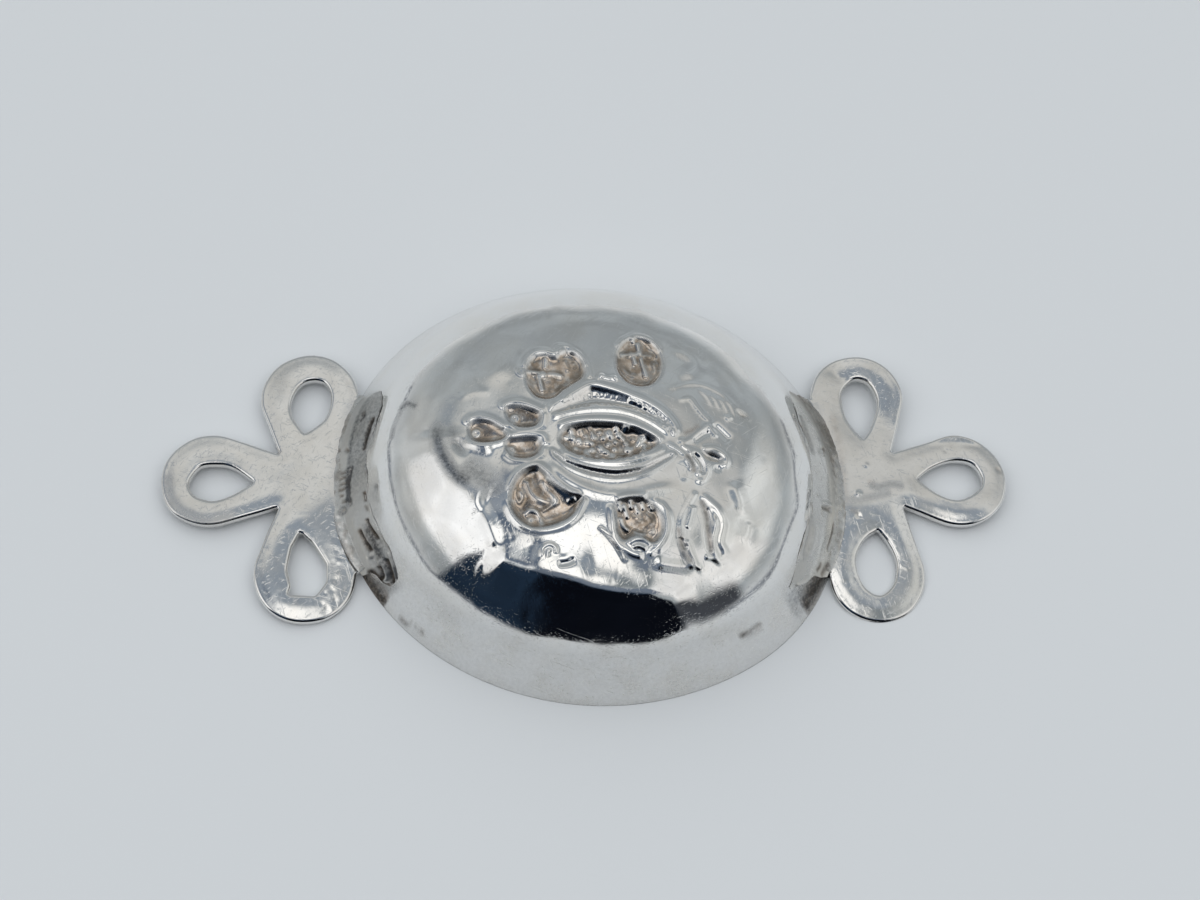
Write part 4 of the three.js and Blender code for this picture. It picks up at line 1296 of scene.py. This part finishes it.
def crown_drop(points, rings):
    """How much wear has taken off the upper face near its outline and its holes."""
    drop = np.zeros(len(points))
    for k, (border, _) in enumerate(rings):
        edge, _ = line_distance(points[:, :2], border, closed=True)
        drop += (HOLE_CROWN if k else OUTER_CROWN) * np.exp(-((edge / CROWN_WIDTH) ** 2))
    return drop


def make_plate(name, plate, bend, worn):
    """A pierced plate with rounded edges. bend gives the height of its top face off level."""
    seed = 20 if plate["side"] > 0 else 30
    points = []
    faces = []
    edges = []
    for k, line in enumerate(plate_loops(plate, seed)):
        edges.append(plate_edge(line, 1 if k else -1, plate["side"], points, faces))
    lowest, highest = zip(*edges)
    plate_face(lowest, PLATE_BOTTOM, UNDER_SPACING, points, faces)
    plate_face(highest, PLATE_TOP, FACE_SPACING, points, faces)
    points = np.array(points)
    crown = crown_drop(points, highest)
    upper = smooth_step(PLATE_BOTTOM + UNDER_ROUNDING, PLATE_TOP, points[:, 2])
    if plate["side"] < 0:
        points[:, 0] *= -1
        faces = [face[::-1] for face in faces]
    x, y = points[:, 0], points[:, 1]
    uneven = worn.read(worn.lift, x, y) + WEAR_HEIGHT * hammering(points[:, :2], WEAR_SIZE, seed + 5)
    points[:, 2] += upper * (uneven - crown)
    points[:, 2] = np.maximum(points[:, 2] + bend(x, y), np.minimum(points[:, 2], TABLE_CLEARANCE))
    piece = make_mesh(name, points, faces)
    worn.mark(piece, x, y)
    return piece


def face_points(borders, spacing):
    """A staggered net of points inside the borders and clear of them."""
    outline = borders[0]
    net = staggered_net(outline.min(axis=0), outline.max(axis=0), spacing)
    net = net[is_inside(net, outline)]
    for hole in borders[1:]:
        net = net[~is_inside(net, hole)]
    edge = np.min([line_distance(net, border, closed=True)[0] for border in borders], axis=0)
    return net[edge > FACE_MARGIN * spacing]


# Folds of the plates: a spot on each fold and the heading in which the plate bends away from it,
# and then how steeply it does
LEFT_FRONT_FOLD = ((-39.3, -2.6), (0.552, -0.834))
LEFT_SIDE_FOLD = ((-39.8, -10.0), (0.93, -0.37))
RIGHT_FRONT_FOLD = ((40.9, -4.6), (0.247, -0.97))
RIGHT_BACK_FOLD = ((45.2, 12.6), (0.79, 0.61))
LEFT_FRONT_SLOPE = -0.04
LEFT_FRONT_CURL = -0.0013
LEFT_SIDE_SLOPE = -0.07
RIGHT_FRONT_SLOPE = -0.115
RIGHT_BACK_SLOPE = 0.12
FOLD_SOFTNESS = 1.0
SWAY_HEIGHT = 0.02
SWAY_SIZE = 9.0


def beyond(x, y, fold):
    """How far a place lies beyond a fold, square to it."""
    (fold_x, fold_y), (heading_x, heading_y) = fold
    across = (x - fold_x) * heading_x + (y - fold_y) * heading_y
    return (across + np.hypot(across, FOLD_SOFTNESS)) / 2


def sway(x, y, seed):
    """The slight waviness of a plate."""
    return SWAY_HEIGHT * hammering(np.column_stack([x, y]), SWAY_SIZE, seed)


def left_bend(x, y):
    """The left plate: level at the back, its front lobe bent down towards the table."""
    front = beyond(x, y, LEFT_FRONT_FOLD)
    side = beyond(x, y, LEFT_SIDE_FOLD)
    bend = LEFT_FRONT_SLOPE * front + LEFT_FRONT_CURL * front**2 + LEFT_SIDE_SLOPE * side
    return bend + sway(x, y, 41)


def right_bend(x, y):
    """The right plate: its front lobe bent down, and the far side of its back lobe bent up."""
    front = beyond(x, y, RIGHT_FRONT_FOLD) * smooth_step(64.0, 50.5, x)
    back = beyond(x, y, RIGHT_BACK_FOLD) * smooth_step(6.0, 11.0, y)
    return RIGHT_FRONT_SLOPE * front + RIGHT_BACK_SLOPE * back + sway(x, y, 42)


# Straps and solder along the joints

JOINT_STEPS = 280
JOINT_CLEARANCE = 0.03
STRAP_ROWS = 46
STRAP_STAND = 0.05
STRAP_END_FALL = 0.8
STRAP_RIM = 0.08
FILLET_ROWS = 16
FILLET_STAND = 0.06
FILLET_OVERLAP = 0.15
FILLET_END_FALL = 0.6
FILLET_LUMPS = 0.05
FILLET_LUMP_SIZE = 1.4
FILLET_WORK_SHARE = 0.8
SEAM_ROWS = 8
SEAM_STAND = 0.03
SEAM_SIZE = 0.17
SEAM_FLATNESS = 0.7
SEAM_END_FALL = 0.7
SEAM_LUMPS = 0.45
SEAM_LUMP_SIZE = 2.5
SEAM_INSET = 0.1


def joint_sheet(name, angles, rows, work, stand):
    """A closed skin against the bowl's wall. stand gives its height and distance off the wall."""
    along = np.repeat(np.linspace(-1, 1, len(angles)), rows)
    angle = np.repeat(angles, rows)
    across = np.tile(np.linspace(0, 1, rows), len(angles))
    y = wall_distance(angle, PLATE_TOP) * np.sin(angle)
    height, out = stand(along, y, across)
    front = from_middle(angle, wall_distance(angle, height) + np.maximum(out, JOINT_CLEARANCE), height)
    back = from_middle(angle, wall_distance(angle, height) + JOINT_CLEARANCE / 2, height)
    points = np.vstack([front, back])
    other = len(front)
    turned = angles[-1] < angles[0]
    faces = []
    for i in range(len(angles) - 1):
        for j in range(rows - 1):
            a = i * rows + j
            quad = (a, a + rows, a + rows + 1, a + 1)
            faces.append(quad[::-1] if turned else quad)
            far = tuple(other + k for k in quad)
            faces.append(far if turned else far[::-1])
    edge = [i * rows for i in range(len(angles))]
    edge += [(len(angles) - 1) * rows + j for j in range(1, rows)]
    edge += [i * rows + rows - 1 for i in range(len(angles) - 2, -1, -1)]
    edge += [j for j in range(rows - 2, 0, -1)]
    for k, a in enumerate(edge):
        b = edge[(k + 1) % len(edge)]
        quad = (a, other + a, other + b, b)
        faces.append(quad[::-1] if turned else quad)
    piece = make_mesh(name, points, faces)
    work.mark(piece, np.tile(y, 2), np.tile(height, 2))
    return piece


def make_strap(name, strap, work):
    """A strap of sheet against the wall, its facets, folds and pits as worked."""
    angles = np.linspace(strap["from"], strap["to"], JOINT_STEPS)

    def stand(along, y, across):
        top = along_line(strap["top"], y)
        foot = along_line(strap["foot"], y)
        height = foot + (top - foot) * across
        ends = 1 - STRAP_END_FALL * np.abs(along) ** 16
        rim = smooth_step(0, STRAP_RIM, 1 - across)
        out = ends * strap_out(strap, y, height) + rim * work.read(work.lift, y, height)
        return height, out + STRAP_STAND

    return joint_sheet(name, angles, STRAP_ROWS, work, stand)


def make_fillet(name, plate, strap, fillet, work, seed):
    """The hollow corner of solder between plate and strap, lumpy and pitted."""
    angles = np.linspace(plate["root_from"], plate["root_to"], JOINT_STEPS)

    def stand(along, y, across):
        turn = across * math.pi / 2
        height = PLATE_TOP - FILLET_OVERLAP + along_line(fillet["rise"], y) * (1 - np.cos(turn))
        ends = 1 - FILLET_END_FALL * along**8
        out = strap_out(strap, y, height) + FILLET_STAND
        out = out + along_line(fillet["reach"], y) * (1 - np.sin(turn)) * ends
        lumps = FILLET_LUMPS * hammering(np.column_stack([y, height]), FILLET_LUMP_SIZE, seed)
        worked = FILLET_WORK_SHARE * work.read(work.lift, y, height)
        return height, out + lumps * np.sin(2 * turn) + worked

    return joint_sheet(name, angles, FILLET_ROWS, work, stand)


def make_seam(name, strap, work, seed):
    """The fine seam of solder along the strap's upper edge."""
    inset = SEAM_INSET * (strap["to"] - strap["from"])
    angles = np.linspace(strap["from"] + inset, strap["to"] - inset, JOINT_STEPS)

    def stand(along, y, across):
        lumps = SEAM_LUMPS * hammering(np.column_stack([y, 0 * y]), SEAM_LUMP_SIZE, seed)
        size = SEAM_SIZE * (1 + lumps) * (1 - SEAM_END_FALL * along**8)
        turn = across * math.pi
        height = along_line(strap["top"], y) - size * np.cos(turn)
        return height, SEAM_STAND + SEAM_FLATNESS * size * np.sin(turn)

    return joint_sheet(name, angles, SEAM_ROWS, work, stand)


# Solder corners: how high they climb the strap and how far they reach over the plate, along Y
LEFT_FILLET = {
    "rise": [(-16.0, 0.9), (-6.0, 0.9), (-5.2, 2.0), (-3.0, 2.5), (1.0, 2.8), (1.6, 1.0), (4.0, 0.7),
             (15.0, 0.6)],
    "reach": [(-16.0, 0.8), (-6.0, 0.9), (-4.0, 0.5), (1.0, 0.5), (4.0, 0.4), (15.0, 0.3)],
}
RIGHT_FILLET = {
    "rise": [(-16.0, 1.6), (-10.0, 1.8), (0.0, 2.4), (8.0, 3.4), (15.0, 3.0)],
    "reach": [(-16.0, 0.7), (0.0, 0.9), (10.0, 1.0), (15.0, 0.6)],
}


# Shader nodes

def add_node(tree, kind, inputs=None, **settings):
    """A node with its settings, its plain values and its links."""
    made = tree.nodes.new(kind)
    for name, value in settings.items():
        setattr(made, name, value)
    for key, value in (inputs or {}).items():
        if isinstance(value, bpy.types.NodeSocket):
            tree.links.new(value, made.inputs[key])
        else:
            made.inputs[key].default_value = value
    return made


def maths(tree, operation, *values):
    """The result of one sum on values or sockets."""
    return add_node(tree, "ShaderNodeMath", dict(enumerate(values)), operation=operation).outputs[0]


def remap(tree, value, low, high, to_low=0.0, to_high=1.0):
    """A value turned smoothly from one range to another."""
    inputs = {"Value": value, "From Min": low, "From Max": high, "To Min": to_low, "To Max": to_high}
    return add_node(tree, "ShaderNodeMapRange", inputs, interpolation_type="SMOOTHSTEP").outputs["Result"]


def object_place(tree):
    """Places on the object in metres, for textures to hang on."""
    return add_node(tree, "ShaderNodeTexCoord").outputs["Object"]


def noise(tree, place, scale, detail, roughness):
    """Cloudy values from nought to one."""
    inputs = {"Vector": place, "Scale": scale, "Detail": detail, "Roughness": roughness}
    return add_node(tree, "ShaderNodeTexNoise", inputs).outputs["Fac"]


def bumped(tree, height, distance):
    """A surface normal that follows a height, at half strength."""
    inputs = {"Height": height, "Strength": 0.5, "Distance": distance}
    return add_node(tree, "ShaderNodeBump", inputs).outputs["Normal"]


def blend_colour(tree, mask, first, second):
    """The first colour where the mask is nought, and the second where it is one."""
    inputs = {0: mask, 6: first, 7: second}
    return add_node(tree, "ShaderNodeMix", inputs, data_type="RGBA").outputs[2]


def new_group(name, inputs, outputs):
    """An empty shader node group with named sockets, each with its kind and default value."""
    group = bpy.data.node_groups.new(name, "ShaderNodeTree")
    for socket, (kind, value) in inputs.items():
        made = group.interface.new_socket(socket, in_out="INPUT", socket_type=kind)
        if value is not None:
            made.default_value = value
    for socket, kind in outputs.items():
        group.interface.new_socket(socket, in_out="OUTPUT", socket_type=kind)
    return group, group.nodes.new("NodeGroupInput").outputs, group.nodes.new("NodeGroupOutput").inputs


def use_group(tree, group, **inputs):
    """The outputs of a node group placed in a tree, its inputs named with _ for a space."""
    made = tree.nodes.new("ShaderNodeGroup")
    made.node_tree = group
    for name, value in inputs.items():
        socket = made.inputs[name.replace("_", " ").title()]
        if isinstance(value, bpy.types.NodeSocket):
            tree.links.new(value, socket)
        else:
            socket.default_value = value
    return made.outputs


FLOAT = "NodeSocketFloat"
COLOUR = "NodeSocketColor"

# Cloudy noises: scale, detail and roughness of each
WIPE_LINES = (1.0, 2.0, 0.6)
POLISH_GRAIN = (2400.0, 3.0, 0.5)
POLISH_HAZE = (160.0, 5.0, 0.6)
TARNISH_PATCHES = (900.0, 4.0, 0.65)
TARNISH_TONES = (420.0, 2.0, 0.5)
FILM_AND_SHADE_SPECKS = (1900.0, 4.0, 0.7)
SOLDER_GRAIN = (1800.0, 6.0, 0.7)
SOLDER_STAINS = (380.0, 3.0, 0.5)
TABLE_CLOUDS = (9.0, 3.0, 0.5)
STUDIO_CLOUDS = (3.5, 4.0, 0.5)

# Wiping scratches: turn in degrees and stretch of each direction, their grain, and what counts as one
WIPES = ((20, 30), (75, 22), (130, 40), (160, 18))
WIPE_SIZE = 1 / 3000
WIPE_TILT = (0.2, 0.3)
WIPE_FROM = 0.62
WIPE_TO = 0.74
POLISH_GRAIN_SHARE = 0.35

# Browns of old and of thin tarnish, and how a full film of grime and painted shade darkens silver
OLD_BROWN = (0.25, 0.187, 0.13, 1)
THIN_BROWN = (0.59, 0.47, 0.365, 1)
DULL_FILM_AND_SHADE = (0.2, 0.21, 0.225)
BARE_SILVER = (0.9, 0.89, 0.87, 1)


def scratches_group():
    """Fine wiping scratches that run in a few directions, as a height and as a mask."""
    group, given, out = new_group(
        "wiping_scratches", {"Amount": (FLOAT, 0.5)}, {"Height": FLOAT, "Mask": FLOAT},
    )
    place = object_place(group)
    total = None
    for turn, stretch in WIPES:
        mapping = add_node(
            group, "ShaderNodeMapping",
            {
                "Vector": place,
                "Rotation": (*WIPE_TILT, turn * DEGREE),
                "Scale": (WIPE_SIZE, stretch * WIPE_SIZE, WIPE_SIZE),
            },
            vector_type="TEXTURE",
        )
        line = remap(group, noise(group, mapping.outputs[0], *WIPE_LINES), WIPE_FROM, WIPE_TO)
        total = line if total is None else maths(group, "MAXIMUM", total, line)
    mask = maths(group, "MULTIPLY", total, given["Amount"])
    grain = maths(group, "MULTIPLY", noise(group, place, *POLISH_GRAIN), POLISH_GRAIN_SHARE)
    group.links.new(mask, out["Mask"])
    group.links.new(maths(group, "SUBTRACT", grain, mask), out["Height"])
    return group


def tarnish_group():
    """Brown tarnish that gathers where the tarnish attribute says, mottled as it wears away."""
    group, given, out = new_group(
        "brown_tarnish",
        {"Silver": (COLOUR, BARE_SILVER), "Gathering": (FLOAT, 1.0)},
        {"Colour": COLOUR, "Mask": FLOAT},
    )
    place = object_place(group)
    stain = add_node(group, "ShaderNodeAttribute", attribute_name="tarnish").outputs["Fac"]
    patch = remap(group, noise(group, place, *TARNISH_PATCHES), 0.3, 0.6, 0.55, 1.0)
    mask = maths(group, "MULTIPLY", maths(group, "MULTIPLY", stain, patch), given["Gathering"])
    tone = remap(group, noise(group, place, *TARNISH_TONES), 0.35, 0.65)
    brown = blend_colour(group, tone, OLD_BROWN, THIN_BROWN)
    group.links.new(blend_colour(group, mask, given["Silver"], brown), out["Colour"])
    group.links.new(mask, out["Mask"])
    return group


def film_and_shade_group():
    """A dull grey film of grime and painted shade where its attribute says, darker and thinner in specks.
    """
    group, given, out = new_group(
        "grey_film_and_shade", {"Colour": (COLOUR, BARE_SILVER)}, {"Colour": COLOUR, "Mask": FLOAT},
    )
    film_and_shade = add_node(group, "ShaderNodeAttribute", attribute_name="film_and_shade").outputs["Fac"]
    speck = remap(group, noise(group, object_place(group), *FILM_AND_SHADE_SPECKS), 0.3, 0.7, 0.5, 1.1)
    share = maths(group, "MULTIPLY", film_and_shade, speck)
    product = {0: given["Colour"], 1: DULL_FILM_AND_SHADE}
    dulled = add_node(group, "ShaderNodeVectorMath", product, operation="MULTIPLY").outputs[0]
    group.links.new(blend_colour(group, share, given["Colour"], dulled), out["Colour"])
    group.links.new(remap(group, film_and_shade, 0.0, 0.25), out["Mask"])
    return group


SCRATCHES = scratches_group()
TARNISH = tarnish_group()
FILM_AND_SHADE = film_and_shade_group()


def new_material(name, metallic=0.0):
    """A material with its node tree and its one shader."""
    material = bpy.data.materials.new(name)
    material.use_nodes = True
    tree = material.node_tree
    shader = tree.nodes["Principled BSDF"]
    shader.inputs["Metallic"].default_value = metallic
    return material, tree, shader


# How the polish varies: cloudiness, warmth where it is cloudy, and roughness added by each effect
WARM_CLOUD = (0.97, 0.955, 0.93)
CLOUD_ROUGHNESS = 0.05
FILM_ROUGHNESS = 0.2
SCRATCH_ROUGHNESS = 0.1
TARNISH_ROUGHNESS = 0.1
SCRATCH_DEPTH = 0.00002

SOLDER_RESIDUE = (0.22, 0.16, 0.10, 1)
SOLDER_DEPTH = 0.00008


def silver_material(name, colour, roughness, scratch, gathering):
    """Worn polished silver: cloudy polish, fine scratches, tarnish in what is sunk, and a film of grime
    and painted shade.
    """
    material, tree, shader = new_material(name, metallic=1.0)
    haze = remap(tree, noise(tree, object_place(tree), *POLISH_HAZE), 0.35, 0.7)
    warm = tuple(c * f for c, f in zip(colour, WARM_CLOUD)) + (1,)
    silver = blend_colour(tree, haze, colour + (1,), warm)
    tarnish = use_group(tree, TARNISH, silver=silver, gathering=gathering)
    film_and_shade = use_group(tree, FILM_AND_SHADE, colour=tarnish["Colour"])
    marks = use_group(tree, SCRATCHES, amount=scratch)
    rough = remap(tree, haze, 0.0, 1.0, roughness, roughness + CLOUD_ROUGHNESS)
    rough = maths(tree, "MULTIPLY_ADD", film_and_shade["Mask"], FILM_ROUGHNESS, rough)
    rough = maths(tree, "MULTIPLY_ADD", marks["Mask"], SCRATCH_ROUGHNESS, rough)
    rough = maths(tree, "MULTIPLY_ADD", tarnish["Mask"], TARNISH_ROUGHNESS, rough)
    tree.links.new(film_and_shade["Colour"], shader.inputs["Base Color"])
    tree.links.new(rough, shader.inputs["Roughness"])
    tree.links.new(bumped(tree, marks["Height"], SCRATCH_DEPTH), shader.inputs["Normal"])
    return material


def solder_material(name, colour, residue):
    """Dull grey solder, pitted, with brown residue where it was never cleaned."""
    material, tree, shader = new_material(name, metallic=1.0)
    place = object_place(tree)
    grain = noise(tree, place, *SOLDER_GRAIN)
    mask = remap(tree, noise(tree, place, *SOLDER_STAINS), 0.45, 0.65, 0.0, residue)
    plain = blend_colour(tree, mask, colour + (1,), SOLDER_RESIDUE)
    tarnish = use_group(tree, TARNISH, silver=plain, gathering=1.0)
    film_and_shade = use_group(tree, FILM_AND_SHADE, colour=tarnish["Colour"])
    tree.links.new(film_and_shade["Colour"], shader.inputs["Base Color"])
    tree.links.new(remap(tree, grain, 0.3, 0.7, 0.22, 0.45), shader.inputs["Roughness"])
    tree.links.new(bumped(tree, grain, SOLDER_DEPTH), shader.inputs["Normal"])
    return material


# Camera, table and studio light

def make_camera():
    """The photograph's view point, looking down and rolled a little."""
    back = Vector((
        math.sin(CAMERA_AZIMUTH) * math.cos(CAMERA_ELEVATION),
        -math.cos(CAMERA_AZIMUTH) * math.cos(CAMERA_ELEVATION),
        math.sin(CAMERA_ELEVATION),
    ))
    level = (-back).cross(Vector((0, 0, 1))).normalized()
    upright = level.cross(-back)
    right = level * math.cos(CAMERA_ROLL) + upright * math.sin(CAMERA_ROLL)
    up = upright * math.cos(CAMERA_ROLL) - level * math.sin(CAMERA_ROLL)
    data = bpy.data.cameras.new("camera")
    data.sensor_width = CAMERA_SENSOR
    data.lens = CAMERA_LENS
    camera = bpy.data.objects.new("camera", data)
    place = Matrix((right, up, back)).transposed().to_4x4()
    place.translation = (Vector(CAMERA_TARGET) + back * CAMERA_DISTANCE) * MM
    camera.matrix_world = place
    bpy.context.scene.collection.objects.link(camera)
    bpy.context.scene.camera = camera


TABLE_SIZE = 6.0
TABLE_COLOUR = (0.62, 0.645, 0.665, 1)
TABLE_MOTTLE = 0.985
TABLE_ROUGHNESS = 0.6


def make_table():
    """A pale level table, very faintly mottled, that carries the object's shadow."""
    half = TABLE_SIZE / 2
    corners = [(-half, -half, 0), (half, -half, 0), (half, half, 0), (-half, half, 0)]
    mesh = bpy.data.meshes.new("table")
    mesh.from_pydata(corners, [], [(0, 1, 2, 3)])
    table = bpy.data.objects.new("table", mesh)
    bpy.context.scene.collection.objects.link(table)
    material, tree, shader = new_material("pale_table")
    cloud = noise(tree, object_place(tree), *TABLE_CLOUDS)
    darker = tuple(c * TABLE_MOTTLE for c in TABLE_COLOUR[:3]) + (1,)
    mottled = blend_colour(tree, cloud, TABLE_COLOUR, darker)
    tree.links.new(mottled, shader.inputs["Base Color"])
    shader.inputs["Roughness"].default_value = TABLE_ROUGHNESS
    mesh.materials.append(material)


# The studio as the silver mirrors it: azimuth from the back towards the right, then elevation
WALL_GREY = (0.33, 0.36, 0.38)
HAZE_FOOT = -2 * DEGREE
HAZE_HEIGHT = 16 * DEGREE
CLOUD_DARKEST = 0.8
CLOUD_LIGHTEST = 1.12
PANEL_ANGLES = ("centre", "half_width", "low", "high", "softness")
PANELS = [
    ("upper_back", (0.585, 0.59, 0.58), 8, 90, 57, 71, 6),
    ("high_ring", (0.22, 0.26, 0.31), 8, 62, 70, 77, 3),
    ("high_left", (0.1, 0.13, 0.18), -105, 60, 71, 78, 3),
    ("high_right", (0.17, 0.2, 0.22), 115, 45, 71, 77, 3),
    ("overhead", (1.06, 1.06, 1.05), 0, 181, 79, 95, 3),
    ("left_glow", (0.5, 0.52, 0.53), -75, 30, 12, 62, 9),
    ("left_window", (0.93, 0.94, 0.95), -98, 24, 27, 70, 4),
    ("right_glow", (0.66, 0.68, 0.68), 88, 30, 24, 68, 8),
    ("right_window", (0.86, 0.865, 0.865), 118, 18, 22, 70, 6),
    ("above_dark", (0.14, 0.17, 0.22), 180, 50, 58, 76, 3),
    ("left_shade", (0.17, 0.21, 0.27), -50, 13, 47, 70, 6),
    ("low_left", (0.2, 0.22, 0.25), -92, 50, 0, 4, 2),
    ("low_right", (0.22, 0.24, 0.27), 96, 42, 0, 4, 2),
    ("front_right", (0.05, 0.055, 0.065), 138, 14, 4, 26, 6),
    ("dark_side", (0.012, 0.024, 0.045), -166, 46, 2, 63, 3),
    ("dark_middle", (0.003, 0.004, 0.007), 176, 28, 0, 60, 3),
]


def panel_group():
    """A soft-edged panel in the surroundings, by azimuth and elevation, as a mask."""
    names = ("Azimuth", "Elevation", "Centre", "Half Width", "Low", "High", "Softness")
    group, given, out = new_group(
        "studio_panel", {name: (FLOAT, 0.0) for name in names}, {"Mask": FLOAT},
    )
    turned = maths(group, "SUBTRACT", given["Azimuth"], given["Centre"])
    away = maths(group, "ABSOLUTE", maths(group, "WRAP", turned, math.pi, -math.pi))
    soft = given["Softness"]

    def falls(value, edge):
        start = maths(group, "SUBTRACT", edge, soft)
        end = maths(group, "ADD", edge, soft)
        return remap(group, value, start, end, 1.0, 0.0)

    below = maths(group, "SUBTRACT", 1.0, falls(given["Elevation"], given["Low"]))
    mask = maths(group, "MULTIPLY", falls(away, given["Half Width"]), below)
    mask = maths(group, "MULTIPLY", mask, falls(given["Elevation"], given["High"]))
    group.links.new(mask, out["Mask"])
    return group


def make_world():
    """The studio all round: pale haze over the table, grey walls, the panels, and faint clouds."""
    world = bpy.data.worlds.new("studio")
    world.use_nodes = True
    tree = world.node_tree
    heading = add_node(tree, "ShaderNodeTexCoord").outputs["Generated"]
    axes = add_node(tree, "ShaderNodeSeparateXYZ", {0: heading}).outputs
    azimuth = maths(tree, "ARCTAN2", axes["X"], axes["Y"])
    elevation = maths(tree, "ARCSINE", axes["Z"])
    horizon = remap(tree, elevation, HAZE_FOOT, HAZE_HEIGHT)
    colour = blend_colour(tree, horizon, TABLE_COLOUR, WALL_GREY + (1,))
    group = panel_group()
    for name, tint, *degrees in PANELS:
        angles = {key: value * DEGREE for key, value in zip(PANEL_ANGLES, degrees)}
        mask = use_group(tree, group, azimuth=azimuth, elevation=elevation, **angles)["Mask"]
        colour = add_node(
            tree, "ShaderNodeMix", {0: mask, 6: colour, 7: tint + (1,)}, data_type="RGBA", label=name,
        ).outputs[2]
    shade = remap(tree, noise(tree, heading, *STUDIO_CLOUDS), 0.3, 0.7, CLOUD_DARKEST, CLOUD_LIGHTEST)
    shaded = add_node(tree, "ShaderNodeVectorMath", {0: colour, 1: shade}, operation="MULTIPLY")
    background = tree.nodes["Background"]
    tree.links.new(shaded.outputs[0], background.inputs["Color"])
    background.inputs["Strength"].default_value = 1.0
    bpy.context.scene.world = world


SUN_STRENGTH = 1.8
SUN_WIDTH = 120 * DEGREE
SUN_TILT = (-10 * DEGREE, -8 * DEGREE, 0)


def make_sun():
    """A very wide soft light from above, for the table. The silver mirrors the panels alone."""
    data = bpy.data.lights.new("soft_top_light", "SUN")
    data.energy = SUN_STRENGTH
    data.angle = SUN_WIDTH
    sun = bpy.data.objects.new("soft_top_light", data)
    sun.rotation_euler = SUN_TILT
    sun.visible_glossy = False
    bpy.context.scene.collection.objects.link(sun)


# The whole piece

def finish_piece(piece, node, material):
    """Gives a piece its material, and puts it in the place of its solid."""
    piece.data.materials.append(material)
    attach(piece, "root")
    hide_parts(node)


make_camera()
bpy.context.scene.view_settings.view_transform = "Standard"
make_world()
make_sun()
make_table()

bowl_silver = silver_material(
    "bowl_silver", (0.92, 0.915, 0.90), roughness=0.045, scratch=0.5, gathering=1.0,
)
handle_silver = silver_material(
    "handle_silver", (0.90, 0.89, 0.87), roughness=0.10, scratch=0.6, gathering=0.6,
)
strap_silver = silver_material(
    "strap_silver", (0.80, 0.79, 0.76), roughness=0.18, scratch=0.9, gathering=1.0,
)
joint_solder = solder_material("joint_solder", (0.82, 0.81, 0.78), residue=0.4)


def make_side(side, plate, bend, worn, strap, fillet, work, seed):
    """The handle, strap and solder of one side."""
    handle = make_plate(f"{side}_pierced_handle", plate, bend, worn)
    finish_piece(handle, f"{side}_handle", handle_silver)
    wall_strap = make_strap(f"{side}_wall_strap", strap, work)
    finish_piece(wall_strap, f"{side}_strap", strap_silver)
    corner = make_fillet(f"{side}_solder_fillet", plate, strap, fillet, work, seed)
    finish_piece(corner, f"{side}_handle_solder", joint_solder)
    upper_seam = make_seam(f"{side}_solder_seam", strap, work, seed + 1)
    finish_piece(upper_seam, f"{side}_strap_solder", joint_solder)


finish_piece(make_bowl(), "bowl", bowl_silver)
make_side(
    "left", LEFT_PLATE, left_bend, wear_left_plate(), LEFT_STRAP, LEFT_FILLET, work_and_shade_left_strap(), seed=50,
)
make_side(
    "right", RIGHT_PLATE, right_bend, wear_right_plate(), RIGHT_STRAP, RIGHT_FILLET, work_and_shade_right_strap(),
    seed=60,
)
